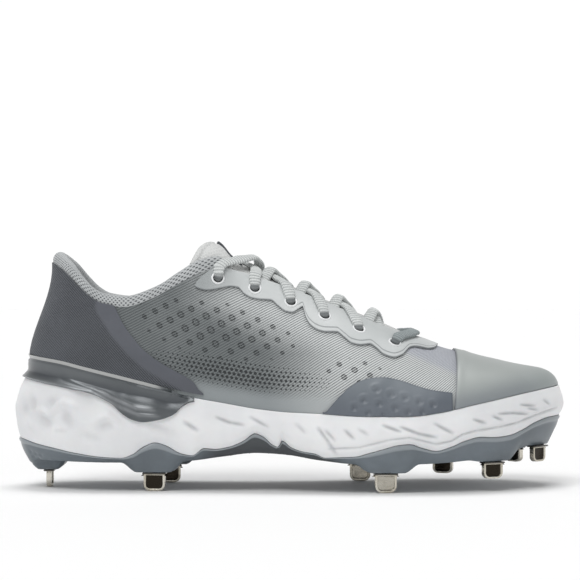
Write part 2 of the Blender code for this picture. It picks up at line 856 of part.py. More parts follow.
# Eyelets on each side: along is a share of LENGTH, and height a share of the top edge's height there
EYELETS = [
    (0.369, 0.9492),
    (0.435, 0.9452),
    (0.499, 0.9345),
    (0.559, 0.9273),
    (0.620, 0.9277),
    (0.684, 0.9224),
]


def share_at(line, height):
    """How far up its wall line the upper reaches a height."""
    low, high = 0.0, 1.0
    for _ in range(24):
        middle = 0.5 * (low + high)
        if wall_point(line, middle).z < height:
            low = middle
        else:
            high = middle
    return 0.5 * (low + high)


def foot_share(line):
    """Where an overlay's lower edge clears the sole's rim, or the clip that laps over it."""
    height = sole_height(line, "bite") + BITE_RIM + 2 * GAP
    if place_of(line) < place_of(CLIP_FRONT - 1):
        height += CLIP_THICKNESS + GAP
    return share_at(line, height)


def overlay(name, lines, foot, head, thickness, look, lean=lambda line, share: line):
    """A film on the upper between two edges, foot(line) and head(line), shares of the wall line."""

    def key(line, row):
        share = min(max(row / WALL_ROWS, foot(line)), head(line))
        if share == 1 and place_of(line) >= THROAT_FRONT:
            line = abs(line)
        return (line, round(share, 5))

    faces = grid_faces(lines, list(range(WALL_ROWS + 1)), key)
    return shell(
        name,
        faces,
        lambda line, share: wall_point(lean(line, share), share),
        OVERLAY_SEAT,
        OVERLAY_SEAT + thickness,
        look,
    )


def toe_cap(look):
    lines = list(range(CAP_SEAM, -CAP_SEAM - 1, -1))

    def lean(line, share):
        if abs(line) < CAP_SEAM:
            return line
        return math.copysign(CAP_SEAM - CAP_SEAM_LEAN * share, line)

    return overlay(
        "toe_cap", lines[::-1], foot_share, lambda line: 1, TOE_CAP_THICKNESS, look, lean
    )


def side_overlay(name, side, look):
    lines = [line if side < 0 else -line for line in OVERLAY_LINES]

    def head(line):
        height = VAMP_HEIGHT * OVERLAY_EDGE.at(place_of(line), "top")
        return max(share_at(line, height), foot_share(line) + LEAST_FILM)

    ordered = lines[::-1] if side < 0 else lines
    return overlay(name, ordered, foot_share, head, OVERLAY_THICKNESS, look)


def heel_counter(look):
    lines = list(range(CLIP_FRONT, LINES - CLIP_FRONT + 1))

    def head(line):
        if place_of(line) < COUNTER_EDGE.places[0]:
            return COUNTER_TOP
        height = HEEL_HEIGHT * COUNTER_EDGE.at(place_of(line), "top")
        return max(share_at(line, height), foot_share(line) + LEAST_FILM)

    return overlay("heel_counter", lines, foot_share, head, COUNTER_THICKNESS, look)


def eyestay(look):
    """The reinforcement round the throat, joined on the ridge in front of it."""

    def foot(line):
        if place_of(line) >= THROAT_FRONT:
            return 1 - 1 / WALL_ROWS
        place = place_of(line)
        return share_at(line, TOP_EDGE.at(place, "top") * EYESTAY_EDGE.at(place, "low"))

    def key(line, row):
        share = max(row / WALL_ROWS, foot(line))
        if share == 1 and place_of(line) >= THROAT_FRONT:
            line = abs(line)
        return (line, round(share, 5))

    rows = list(range(WALL_ROWS + 1))
    faces = grid_faces(EYESTAY_LINES[::-1], rows, key)
    faces += grid_faces([-line for line in EYESTAY_LINES], rows, key)
    return shell("eyestay", faces, wall_point, OVERLAY_SEAT, OVERLAY_SEAT + OVERLAY_THICKNESS, look)


def wall_normal(line, share):
    """Direction out of the upper at a point of its outside."""
    above, below = min(share + SHARE_STEP, 1.0), max(share - SHARE_STEP, 0.0)
    up = wall_point(line, above) - wall_point(line, below)
    along = wall_point(line + LINE_STEP, share) - wall_point(line - LINE_STEP, share)
    return up.cross(along).normalized()


def tube(name, centre, axis, radius, bore, back, front, look, sides=EYELET_SIDES):
    """A ring about an axis, from back to front along it. With no bore it is a plain round bar."""
    turn = Vector((0, 0, 1)).rotation_difference(axis)
    points, faces = [], []
    rings = [(radius, back), (radius, front)]
    if bore:
        rings += [(bore, front), (bore, back)]
    for distance, height in rings:
        for i in range(sides):
            angle = 2 * math.pi * i / sides
            point = Vector((distance * math.cos(angle), distance * math.sin(angle), height))
            points.append(centre + turn @ point)
    levels = len(rings) if bore else len(rings) - 1
    for level in range(levels):
        above = (level + 1) % len(rings) * sides
        for i in range(sides):
            beside = (i + 1) % sides
            faces.append([level * sides + i, level * sides + beside, above + beside, above + i])
    if not bore:
        faces += [list(range(sides)), list(range(2 * sides - 1, sides - 1, -1))]
    return finished(name, points, faces, look)


def eyelet_seat(row, side):
    """Centre and direction of an eyelet on the upper's outside."""
    line = tongue_line(row[0], side)
    share = share_at(line, TOP_EDGE.at(row[0], "top") * row[1])
    return wall_point(line, share), wall_normal(line, share)


def eyelets(pieces, look):
    """Twelve lined eyelets, each through a hole in the eyestay and the upper."""
    front = OVERLAY_SEAT + OVERLAY_THICKNESS + EYELET_PROUD
    rims = []
    for side, side_name in ((-1, "lateral"), (1, "medial")):
        for i, row in enumerate(EYELETS):
            centre, axis = eyelet_seat(row, side)
            name = f"eyelet_{side_name}_{i + 1}"
            outer = EYELET_BORE + EYELET_RIM
            rims.append(tube(name, centre, axis, outer, EYELET_BORE, -UPPER_WALL, front, look))
            hole = tube(name + "_hole", centre, axis, outer + GAP, 0, -3 * UPPER_WALL, 3 * front, look)
            for piece in pieces:
                cut = piece.modifiers.new(name, "BOOLEAN")
                cut.operation = "DIFFERENCE"
                cut.solver = "EXACT"
                cut.object = hole
            hole.hide_render = True
            hole.display_type = "WIRE"
    return rims


# The clip's lower edge, as a share of SOLE_HEIGHT
CLIP_EDGE = Table(
    "along low",
    [
        (0.016, 0.867),
        (0.050, 0.845),
        (0.093, 0.815),
        (0.130, 0.773),
        (0.158, 0.735),
        (0.185, 0.673),
        (0.202, 0.608),
        (0.220, 0.561),
        (0.240, 0.542),
        (0.266, 0.557),
        (0.289, 0.589),
        (0.307, 0.643),
        (0.333, 0.700),
    ],
)


def heel_clip(look):
    """A moulded wing round the heel, lapped over the sole's rim."""
    rows = CLIP_ROWS
    lines = list(range(CLIP_FRONT, LINES - CLIP_FRONT + 1))

    def point(line, row):
        if row == rows:
            lap = wall_point(line, 0.0) + outward(line) * 3 * GAP
            lap.z += BITE_RIM
            return lap
        top = sole_height(line, "bite") + BITE_RIM
        foot = SOLE_HEIGHT * CLIP_EDGE.at(place_of(line), "low")
        reach = (top - foot) / (top - edge_height(side_point(line, 1.0).x) - GAP)
        return side_point(line, reach * (1 - row / (rows - 1)))

    faces = grid_faces(lines, list(range(rows + 1)))
    return shell("heel_clip", faces, point, GAP, GAP + CLIP_THICKNESS, look)


# The lining's roll over the edge: up and out as shares of the roll, and in as a share of wall and pad
COLLAR_OVER = [(0.55, 0.15, 0.0), (1.0, 0.0, 0.5), (0.5, 0.0, 0.97)]
# The lining's section: depth below the collar's edge, and thickness, as shares of the pad's
COLLAR_INSIDE = [(0.25, 1.0), (0.65, 0.8), (1.0, 0.15), (1.0, 0.0), (0.6, 0.0), (0.2, 0.0)]


def collar_lining(look):
    """The padded lining inside the collar, with its roll over the upper's top edge."""
    lines = [CLIP_FRONT + 0.2] + list(range(CLIP_FRONT + 1, LINES - CLIP_FRONT))
    lines.append(LINES - CLIP_FRONT - 0.2)
    inner = UPPER_WALL + COLLAR_SEAT
    rings = []
    for line in lines:
        full = min(1.0, (COLLAR_END - place_of(line)) / COLLAR_FADE)
        pad, roll = COLLAR_PAD * full, COLLAR_ROLL * full
        top = top_point(line)
        away = wall_normal(line, 1.0)
        away = Vector((away.x, away.y, 0.0)).normalized()
        up = Vector((0.0, 0.0, 1.0))
        ring = [top + up * GAP]
        for rise, out, across in COLLAR_OVER:
            ring.append(top + up * roll * rise + away * (roll * out - across * (inner + pad)))
        for depth, thick in COLLAR_INSIDE:
            share = share_at(line, top.z - COLLAR_DEPTH * depth)
            ring.append(wall_point(line, share) - wall_normal(line, share) * (inner + pad * thick))
        ring.append(top - away * inner - up * 2 * GAP)
        ring.append(top - away * inner + up * GAP)
        rings.append(ring)
    return prism("collar_lining", rings, look)


def tongue_webbing(look):
    """A woven strip sewn along the tongue's front, near its free end."""
    sections = tongue_sections()
    rows = list(range(len(sections) - 3, len(sections)))

    def point(row, column):
        middle = sections[row][len(sections[row]) // 2]
        beside = sections[row][len(sections[row]) // 2 + column]
        here = middle.lerp(beside, WEBBING_WIDTH)
        if row == rows[-1]:
            here = here.lerp(sections[row - 1][len(sections[row]) // 2 + column], WEBBING_STOP)
        return here

    faces = grid_faces(rows, [-1, 0, 1])
    return shell("tongue_webbing", faces, point, GAP, GAP + WEBBING_THICKNESS, look)


# Laces

def tree_of(piece):
    """The piece's evaluated surface, for finding what lies under a lace."""
    bpy.context.view_layer.update()
    return BVHTree.FromObject(piece, bpy.context.evaluated_depsgraph_get())


def rest_height(trees, x, y):
    """Height of the highest surface under a point, in plan."""
    heights = [0.0]
    for tree in trees:
        hit = tree.ray_cast(Vector((x, y, 2 * HEEL_HEIGHT)), Vector((0.0, 0.0, -1.0)))[0]
        if hit:
            heights.append(hit.z)
    return max(heights)


def taut(profile):
    """The points of a profile that a tight lace touches, from its first to its last."""
    hull = []
    for point in profile:
        while len(hull) > 1:
            (x0, z0), (x1, z1) = hull[-2], hull[-1]
            if (z1 - LACE_SLACK - z0) * (point[0] - x0) > (point[1] - z0) * (x1 - x0):
                break
            hull.pop()
        hull.append(point)
    return hull


def strand(name, start, end, trees, look):
    """A flat-oval lace pulled tight over what is under it, from one plan point to another."""
    run = end - start
    across = Vector((-run.y, run.x, 0.0)).normalized() * LACE_WIDTH / 2
    if across.x < 0:
        across = -across
    places = [i / LACE_SAMPLES for i in range(LACE_SAMPLES + 1)]
    widths = (-0.8, -0.4, 0.0, 0.4, 0.8)
    beds = []
    for place in places:
        here = start.lerp(end, place)
        beds.append([rest_height(trees, here.x + across.x * w, here.y + across.y * w) for w in widths])
    most = LACE_TILT * LACE_WIDTH
    slopes = [(bed[-1] - bed[0]) / (widths[-1] - widths[0]) for bed in beds]
    slopes = [min(max(slope, -most), most) for slope in slopes]
    profile, tilts = [], {}
    for i, place in enumerate(places):
        near = slopes[max(0, i - 2) : i + 3]
        tilt = sum(near) / len(near)
        profile.append((place, max(height - tilt * w for height, w in zip(beds[i], widths))))
        tilts[place] = tilt
    rings = []
    for place, height in taut(profile):
        middle = start.lerp(end, place)
        width = Vector((across.x, across.y, tilts[place])).normalized()
        lift = width.cross(run).normalized()
        lift = lift if lift.z > 0 else -lift
        centre = Vector((middle.x, middle.y, height)) + lift * (LACE_CLEARANCE + LACE_THICKNESS / 2)
        ring = []
        for w, h in LACE_SECTION:
            ring.append(centre + width * w * LACE_WIDTH / 2 + lift * h * LACE_THICKNESS / 2)
        rings.append(ring)
    return prism(name, rings, look)


# The lace's section, in half widths and half thicknesses
LACE_SECTION = [(-1, 0), (-0.6, 1), (0.6, 1), (1, 0), (0.6, -1), (-0.6, -1)]


def laces(trees, look):
    """Crossings between the eyelet rows and a bar at the toe end, each a joined solid."""
    seats = {}
    for side in (-1, 1):
        points = [eyelet_seat(row, side)[0] for row in EYELETS]
        seats[side] = [Vector((point.x, point.y, 0.0)) for point in points]
    last = len(EYELETS) - 1
    strand("lace_bar", seats[-1][last], seats[1][last], trees, look)
    for index in range(last):
        pair = []
        for side in (-1, 1):
            low, high = seats[side][index + 1], seats[-side][index]
            start = low.lerp(high, LACE_BAR_MARGIN) if index + 1 == last else low
            end = high if index == 0 else low.lerp(high, LACE_TUCKED)
            name = f"lace_crossing_{index + 1}"
            pair.append(strand(name if side < 0 else name + "_over", start, end, trees, look))
        union(pair[0], pair[1:])


def build():
    for old in list(bpy.data.objects):
        bpy.data.objects.remove(old, do_unlink=True)
    knit = material("knit", (0.42, 0.43, 0.44), 0.85)
    foam = material("foam", (0.75, 0.76, 0.77), 0.6)
    moulding = material("moulding", (0.16, 0.19, 0.21), 0.4)
    steel = material("steel", (0.55, 0.53, 0.50), 0.25, 1.0)
    padding = material("padding", (0.55, 0.56, 0.57), 0.9)
    counter = material("counter", (0.07, 0.08, 0.09), 0.7)
    film = material("film", (0.13, 0.15, 0.17), 0.5)
    toe_film = material("toe_film", (0.20, 0.23, 0.22), 0.5)
    trim = material("trim", (0.60, 0.61, 0.62), 0.6)
    wing = material("wing", (0.32, 0.33, 0.35), 0.3, 0.4)
    cord = material("cord", (0.55, 0.56, 0.57), 0.9)
    shoe = upper(knit)
    shoe_tongue = tongue(padding)
    insole(padding)
    midsole(foam)
    base = plate(moulding)
    union(base, [pod(row, moulding) for row in STUDS])
    for row in STUDS:
        stud(row, steel)
    collar_lining(padding)
    tongue_webbing(counter)
    heel_counter(counter)
    toe_cap(toe_film)
    side_overlay("side_overlay_lateral", -1, film)
    side_overlay("side_overlay_medial", 1, film)
    heel_clip(wing)
    stay = eyestay(trim)
    under_laces = [tree_of(piece) for piece in (shoe, stay, shoe_tongue)]
    rims = eyelets([shoe, stay], trim)
    laces(under_laces + [tree_of(rim) for rim in rims], cord)


build()
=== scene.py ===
"""Looks of the baseball cleat, right shoe: knit upper, films, padding, laces, foam, plate and studs."""

import math

import bpy
import numpy as np
from mathutils import Matrix, Vector
from mathutils.bvhtree import BVHTree


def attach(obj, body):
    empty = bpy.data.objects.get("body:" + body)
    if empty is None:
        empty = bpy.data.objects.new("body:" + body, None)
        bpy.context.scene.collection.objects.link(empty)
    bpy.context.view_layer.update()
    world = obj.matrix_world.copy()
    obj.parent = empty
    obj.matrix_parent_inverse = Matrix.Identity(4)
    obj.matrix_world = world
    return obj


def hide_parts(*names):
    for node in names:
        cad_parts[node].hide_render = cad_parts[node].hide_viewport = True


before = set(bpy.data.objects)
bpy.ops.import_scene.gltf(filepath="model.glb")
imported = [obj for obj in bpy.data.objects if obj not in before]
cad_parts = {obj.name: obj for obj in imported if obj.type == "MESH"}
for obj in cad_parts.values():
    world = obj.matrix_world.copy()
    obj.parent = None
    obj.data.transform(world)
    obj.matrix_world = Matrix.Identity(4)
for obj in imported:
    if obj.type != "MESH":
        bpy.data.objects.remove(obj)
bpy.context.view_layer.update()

# The shoe's sizes, as in the construction model
LENGTH = 0.300
BALL_WIDTH = 0.102
HEEL_HEIGHT = 0.1235
INSTEP_HEIGHT = 0.119
VAMP_HEIGHT = 0.0795
SOLE_HEIGHT = 0.0686
GAP = 0.0003
UPPER_WALL = 0.0018
FEATHER_INSET = 0.0035
BITE_RIM = 0.0012
TONGUE_THICKNESS = 0.0035
TONGUE_CLEARANCE = 0.0008
COLLAR_PAD = 0.0055
COLLAR_DEPTH = 0.026
COLLAR_ROLL = 0.0045
CLIP_THICKNESS = 0.0018
FILM_THICKNESS = 0.0009
TOE_FILM_THICKNESS = 0.0008
COUNTER_THICKNESS = 0.0007
WEBBING_THICKNESS = 0.0016
EYELET_BORE = 0.0026
LACE_WIDTH = 0.0063
LACE_THICKNESS = 0.0027
LACE_RIB = 0.00175
EDGE_INSET = 0.0105
EDGE_TUCK = 0.0045
LINES = 72


class Table:
    """A short table of named columns, read on a smooth curve that never overshoots."""

    def __init__(self, columns, rows):
        self.names = columns.split()
        self.rows = np.array(rows, float)
        slopes = np.diff(self.rows, axis=0) / np.diff(self.rows[:, 0])[:, None]
        before, after = slopes[:-1], slopes[1:]
        both = np.where(before + after == 0, 1.0, before + after)
        inner = np.where(before * after > 0, 2 * before * after / both, 0.0)
        self.slopes = np.vstack([slopes[:1], inner, slopes[-1:]])

    def at(self, place, name):
        column = self.names.index(name)
        starts = self.rows[:, 0]
        place = np.clip(place, starts[0], starts[-1])
        i = np.clip(np.searchsorted(starts, place, side="right") - 1, 0, len(starts) - 2)
        run = starts[i + 1] - starts[i]
        t = (place - starts[i]) / run
        low, high = self.rows[i, column], self.rows[i + 1, column]
        bend_low, bend_high = self.slopes[i, column] * run, self.slopes[i + 1, column] * run
        return (
            low * (2 * t**3 - 3 * t**2 + 1)
            + high * (3 * t**2 - 2 * t**3)
            + bend_low * (t**3 - 2 * t**2 + t)
            + bend_high * (t**3 - t**2)
        )


# The shoe's form, in the construction model's shares
SOLE = Table(
    "along centre half bite_in bite bed edge under",
    [
        (0.00, 0.000, 0.318, 0.083, 1.000, 0.630, 0.400, 0.250),
        (0.03, 0.000, 0.326, 0.066, 0.987, 0.628, 0.365, 0.235),
        (0.08, 0.000, 0.340, 0.048, 0.960, 0.618, 0.325, 0.230),
        (0.13, -0.002, 0.355, 0.040, 0.912, 0.600, 0.295, 0.225),
        (0.18, -0.003, 0.365, 0.036, 0.860, 0.580, 0.280, 0.222),
        (0.24, -0.005, 0.368, 0.033, 0.795, 0.550, 0.350, 0.222),
        (0.28, -0.010, 0.362, 0.032, 0.752, 0.525, 0.330, 0.225),
        (0.32, -0.015, 0.356, 0.031, 0.712, 0.500, 0.278, 0.235),
        (0.38, -0.024, 0.353, 0.030, 0.665, 0.472, 0.330, 0.270),
        (0.44, -0.036, 0.361, 0.030, 0.620, 0.445, 0.430, 0.300),
        (0.49, -0.045, 0.380, 0.030, 0.598, 0.428, 0.360, 0.290),
        (0.55, -0.049, 0.407, 0.030, 0.587, 0.412, 0.290, 0.250),
        (0.62, -0.038, 0.451, 0.029, 0.570, 0.402, 0.275, 0.222),
        (0.68, -0.020, 0.479, 0.029, 0.568, 0.400, 0.345, 0.220),
        (0.71, -0.010, 0.488, 0.029, 0.570, 0.402, 0.370, 0.222),
        (0.76, 0.008, 0.490, 0.029, 0.595, 0.412, 0.305, 0.230),
        (0.82, 0.030, 0.474, 0.030, 0.650, 0.440, 0.410, 0.252),
        (0.87, 0.052, 0.454, 0.031, 0.692, 0.475, 0.415, 0.285),
        (0.92, 0.076, 0.434, 0.033, 0.733, 0.520, 0.440, 0.335),
        (0.97, 0.096, 0.416, 0.037, 0.765, 0.560, 0.510, 0.395),
        (1.00, 0.106, 0.406, 0.040, 0.780, 0.580, 0.530, 0.425),
    ],
)
COLLAR_EDGE = [
    (0.000, 0.0690, 0.000, 0.165, 0.996),
    (0.020, 0.0770, 0.000, 0.180, 0.985),
    (0.050, 0.0910, 0.000, 0.200, 0.962),
    (0.075, 0.1060, 0.000, 0.222, 0.930),
    (0.100, 0.1240, 0.000, 0.240, 0.886),
    (0.125, 0.1440, 0.000, 0.254, 0.842),
    (0.150, 0.1660, 0.000, 0.262, 0.814),
    (0.200, 0.2060, 0.000, 0.270, 0.802),
    (0.250, 0.2560, 0.000, 0.264, 0.840),
    (0.300, 0.3020, 0.000, 0.245, 0.903),
    (0.340, 0.3410, 0.000, 0.220, 0.949),
]
THROAT_EDGE = [
    (0.372, 0.3730, 0.000, 0.195, 1.000),
    (0.400, 0.4000, 0.000, 0.180, 0.983),
    (0.433, 0.4330, 0.000, 0.172, 0.957),
    (0.500, 0.5000, 0.000, 0.157, 0.899),
    (0.560, 0.5600, 0.003, 0.142, 0.838),
    (0.620, 0.6200, 0.006, 0.128, 0.775),
    (0.683, 0.6830, 0.014, 0.115, 0.712),
]
RIDGE = [
    (0.742, 0.7420, 0.028, 0.112, 1.000),
    (0.780, 0.7750, 0.042, 0.112, 0.953),
    (0.820, 0.8100, 0.056, 0.112, 0.920),
    (0.860, 0.8450, 0.068, 0.112, 0.882),
    (0.900, 0.8760, 0.080, 0.112, 0.855),
    (0.940, 0.9050, 0.090, 0.112, 0.829),
    (0.970, 0.9280, 0.098, 0.112, 0.813),
    (1.000, 0.9450, 0.104, 0.112, 0.802),
]
THROAT_FRONT = RIDGE[0][0]
THROAT_ROUND_FROM = 0.620
TOP_EDGE = Table(
    "line reach centre half top",
    [row[:-1] + (row[-1] * HEEL_HEIGHT,) for row in COLLAR_EDGE]
    + [row[:-1] + (row[-1] * INSTEP_HEIGHT,) for row in THROAT_EDGE]
    + [row[:-1] + (row[-1] * VAMP_HEIGHT,) for row in RIDGE],
)
BEND = Table(
    "line rise out lean drop",
    [
        (0.00, 0.30, 0.004, -0.14, 0.36),
        (0.05, 0.33, 0.012, 0.05, 0.36),
        (0.12, 0.36, 0.016, 0.25, 0.36),
        (0.22, 0.38, 0.014, 0.30, 0.35),
        (0.30, 0.40, 0.010, 0.45, 0.30),
        (0.40, 0.42, 0.006, 0.58, 0.20),
        (0.50, 0.43, 0.005, 0.56, 0.17),
        (0.60, 0.46, 0.003, 0.60, 0.13),
        (0.70, 0.50, 0.002, 0.60, 0.09),
        (0.78, 0.55, 0.002, 0.60, 0.04),
        (0.86, 0.60, 0.002, 0.60, 0.03),
        (0.94, 0.62, 0.002, 0.58, 0.05),
        (1.00, 0.62, 0.002, 0.55, 0.08),
    ],
)
HEEL_ROUND = (0.16, 2.3)
TOE_ROUND = (0.20, 2.2)
SIDE_SHAPE = Table(
    "depth inset",
    [(0.0, 0.62), (0.12, 0.48), (0.35, 0.16), (0.6, 0.0), (0.85, 0.10), (1.0, 0.24)],
)
HEEL_SHAPE = Table("depth inset", [(0.0, 0.97), (0.12, 0.93), (0.25, 0.62), (0.35, 0.36), (0.6, 0.0)])
# The plate's upper edge on the side: x from the heel and height, both in millimetres
PLATE_EDGE = Table(
    "x z",
    [
        (0, 28.0), (8.5, 26.0), (14, 24.6), (22, 23.0), (36, 20.2), (51, 18.2), (60, 17.8),
        (66, 19.6), (72, 23.8), (78, 26.0), (84, 24.4), (92, 20.2), (98, 19.2), (104, 23.0),
        (110, 22.6), (118, 24.0), (125, 27.0), (131, 31.0), (136, 29.0), (140, 25.4),
        (143.4, 24.0), (145.4, 27.4), (150, 24.0), (156, 21.8), (163, 20.6), (168, 18.6),
        (176, 19.0), (184, 19.4), (190, 21.0), (198, 23.2), (206, 25.4), (212, 26.0),
        (219, 24.0), (226, 22.4), (234, 24.4), (242, 27.6), (250, 29.4), (258, 29.0),
        (266, 29.8), (273, 32.2), (281, 36.0), (290, 38.4), (300, 38.8),
    ],
)


def place_of(line):
    return 0.5 * (1 + np.cos(2 * np.pi * np.asarray(line, float) / LINES))


def side_of(line):
    return np.where(np.mod(line, LINES) <= LINES / 2, -1.0, 1.0)


def line_at(place, side):
    line = LINES * np.arccos(2 * np.asarray(place, float) - 1) / (2 * np.pi)
    return line if side < 0 else LINES - line


def round_ends(place):
    reach, square = HEEL_ROUND
    heel = np.maximum(0.0, 1 - np.abs(1 - np.minimum(place / reach, 1)) ** square) ** (1 / square)
    reach, square = TOE_ROUND
    toe = np.maximum(0.0, 1 - np.abs(1 - np.minimum((1 - place) / reach, 1)) ** square)
    return heel * toe ** (1 / square)


def outline(line):
    place = place_of(line)
    half = SOLE.at(place, "half") * round_ends(place)
    y = BALL_WIDTH * (SOLE.at(place, "centre") + side_of(line) * half)
    return np.stack([LENGTH * (place - 0.5), y, np.zeros_like(y)], -1)


def outward(line):
    along = outline(np.asarray(line) + 0.05) - outline(np.asarray(line) - 0.05)
    out = np.stack([-along[..., 1], along[..., 0], np.zeros_like(along[..., 0])], -1)
    return out / np.linalg.norm(out, axis=-1, keepdims=True)


def ring_point(line, inset, height):
    point = outline(line) - outward(line) * np.asarray(inset)[..., None]
    point[..., 2] = height
    return point


def top_point(line):
    place = place_of(line)
    front = np.clip((place - THROAT_ROUND_FROM) / (THROAT_FRONT - THROAT_ROUND_FROM), 0, 1)
    half = TOP_EDGE.at(place, "half") * np.sqrt(1 - front**2)
    half = half * np.where(place < HEEL_ROUND[0], round_ends(place), 1.0)
    y = BALL_WIDTH * (TOP_EDGE.at(place, "centre") + side_of(line) * half)
    return np.stack([LENGTH * (TOP_EDGE.at(place, "reach") - 0.5), y, TOP_EDGE.at(place, "top")], -1)


def wall(line, share):
    """Points of the upper's outside: share 0 at the sole's rim, 1 at the top edge, -1 at the feather."""
    line, share = np.broadcast_arrays(np.asarray(line, float), np.asarray(share, float))
    place = place_of(line)
    rim = BALL_WIDTH * SOLE.at(place, "bite_in")
    bite = ring_point(line, rim, SOLE_HEIGHT * SOLE.at(place, "bite"))
    feather = ring_point(line, rim + FEATHER_INSET, SOLE_HEIGHT * SOLE.at(place, "bed"))
    top = top_point(line)
    height = (top - bite)[..., 2]
    across = bite - top
    across[..., 2] = 0
    low = bite + outward(line) * (BALL_WIDTH * BEND.at(place, "out"))[..., None]
    low[..., 2] += height * BEND.at(place, "rise")
    high = top + across * BEND.at(place, "lean")[..., None]
    high[..., 2] -= height * BEND.at(place, "drop")
    t = np.clip(share, 0, 1)[..., None]
    rest = 1 - t
    above = bite * rest**3 + low * 3 * rest**2 * t + high * 3 * rest * t**2 + top * t**3
    below = bite + (feather - bite) * np.clip(-share, 0, 1)[..., None]
    return np.where((share <= 0)[..., None], below, above)


def wall_normal(line, share):
    share = np.asarray(share)
    up = wall(line, np.minimum(share + 0.02, 1)) - wall(line, np.maximum(share - 0.02, 0))
    along = wall(np.asarray(line) + 0.1, share) - wall(np.asarray(line) - 0.1, share)
    out = np.cross(up, along)
    return out / np.linalg.norm(out, axis=-1, keepdims=True)


def share_at(line, height):
    low, high = np.zeros_like(line * 1.0), np.ones_like(line * 1.0)
    for _ in range(24):
        middle = 0.5 * (low + high)
        under = wall(line, middle)[..., 2] < height
        low, high = np.where(under, middle, low), np.where(under, high, middle)
    return 0.5 * (low + high)


def side_point(line, depth, offset=0.0):
    """Points of the midsole's side: depth 0 at the rim and 1 at the plate."""
    line, depth = np.broadcast_arrays(np.asarray(line, float), np.asarray(depth, float))
    place = place_of(line)
    rim = BALL_WIDTH * SOLE.at(place, "bite_in")
    heel = np.clip((0.33 - place) / 0.1, 0, 1)
    shape = SIDE_SHAPE.at(depth, "inset")
    shape = np.where(depth <= 0.6, shape + (HEEL_SHAPE.at(depth, "inset") - shape) * heel, shape)
    inset = np.where(depth <= 0.6, rim, EDGE_INSET) * shape
    top = SOLE_HEIGHT * SOLE.at(place, "bite") + BITE_RIM
    point = ring_point(line, inset - offset, top)
    point[..., 2] += (edge_height(point[..., 0]) + GAP - point[..., 2]) * depth
    return point


def edge_height(x):
    return PLATE_EDGE.at((x + LENGTH / 2) * 1000, "z") / 1000


# Making pieces


def only(piece):
    bpy.ops.object.select_all(action="DESELECT")
    piece.select_set(True)
    bpy.context.view_layer.objects.active = piece


def apply_all(piece):
    only(piece)
    for modifier in list(piece.modifiers):
        bpy.ops.object.modifier_apply(modifier=modifier.name)


def solidify(piece, thickness, offset):
    wall_thickness = piece.modifiers.new("Thickness", "SOLIDIFY")
    wall_thickness.thickness = thickness
    wall_thickness.offset = offset
    wall_thickness.use_even_offset = False


def bevel(piece, width, segments=2, angle=50):
    edge = piece.modifiers.new("Soft edge", "BEVEL")
    edge.width = width
    edge.segments = segments
    edge.limit_method = "ANGLE"
    edge.angle_limit = math.radians(angle)


def smooth(piece, angle=None):
    only(piece)
    if angle is None:
        bpy.ops.object.shade_smooth()
    else:
        bpy.ops.object.shade_smooth_by_angle(angle=math.radians(angle))


def mesh_piece(name, points, faces, flow=None, marks=None):
    """A piece from points and faces, with a flow map in metres and named marks on its points."""
    mesh = bpy.data.meshes.new(name)
    mesh.from_pydata(np.asarray(points).tolist(), [], faces)
    if flow is not None:
        layer = mesh.uv_layers.new(name="Flow")
        corners = np.empty(len(mesh.loops), int)
        mesh.loops.foreach_get("vertex_index", corners)
        layer.data.foreach_set("uv", np.asarray(flow, np.float32)[corners].ravel())
    for key, values in (marks or {}).items():
        mark = mesh.attributes.new(key, "FLOAT", "POINT")
        mark.data.foreach_set("value", np.asarray(values, np.float32).ravel())
    piece = bpy.data.objects.new(name, mesh)
    bpy.context.scene.collection.objects.link(piece)
    return piece


def merged(piece, distance=2e-6):
    only(piece)
    bpy.ops.object.mode_set(mode="EDIT")
    bpy.ops.mesh.select_all(action="SELECT")
    bpy.ops.mesh.remove_doubles(threshold=distance)
    bpy.ops.mesh.normals_make_consistent(inside=False)
    bpy.ops.object.mode_set(mode="OBJECT")
    return piece


def turned_out(piece):
    """Turns the faces of a sheet on the shoe's outside away from the shoe."""
    outside = 0.0
    for face in piece.data.polygons:
        x, y, z = face.center
        outside += face.area * face.normal.dot(Vector((x - min(max(x, -0.08), 0.08), y, z - 0.03)))
    if outside < 0:
        only(piece)
        bpy.ops.object.mode_set(mode="EDIT")
        bpy.ops.mesh.select_all(action="SELECT")
        bpy.ops.mesh.flip_normals()
        bpy.ops.object.mode_set(mode="OBJECT")


def capped(piece, sides):
    """Closes the open ends of a tube and turns its faces outwards."""
    only(piece)
    bpy.ops.object.mode_set(mode="EDIT")
    bpy.ops.mesh.select_all(action="SELECT")
    bpy.ops.mesh.fill_holes(sides=sides)
    bpy.ops.mesh.normals_make_consistent(inside=False)
    bpy.ops.object.mode_set(mode="OBJECT")


def grid_piece(name, points, flow=None, marks=None, wrap=False):
    """A sheet from a grid of points, first along the lines, then up the rows."""
    rows, columns = points.shape[:2]
    index = np.arange(rows * columns).reshape(rows, columns)
    beside = np.roll(index, -1, 0) if wrap else index[1:]
    here = index if wrap else index[:-1]
    faces = np.stack([here[:, :-1], here[:, 1:], beside[:, 1:], beside[:, :-1]], -1).reshape(-1, 4)
    flat_marks = {key: np.asarray(value).reshape(-1) for key, value in (marks or {}).items()}
    flat_flow = None if flow is None else np.asarray(flow).reshape(-1, 2)
    return mesh_piece(name, points.reshape(-1, 3), faces.tolist(), flat_flow, flat_marks)


def grid_normals(points):
    up = np.gradient(points, axis=1)
    along = np.gradient(points, axis=0)
    out = np.cross(up, along)
    return out / np.maximum(np.linalg.norm(out, axis=-1, keepdims=True), 1e-12)


def travelled(points, axis):
    """Distance covered so far along one axis of a grid of points."""
    steps = np.linalg.norm(np.diff(points, axis=axis), axis=-1)
    return np.concatenate([np.zeros_like(np.take(steps, [0], axis)), np.cumsum(steps, axis)], axis)


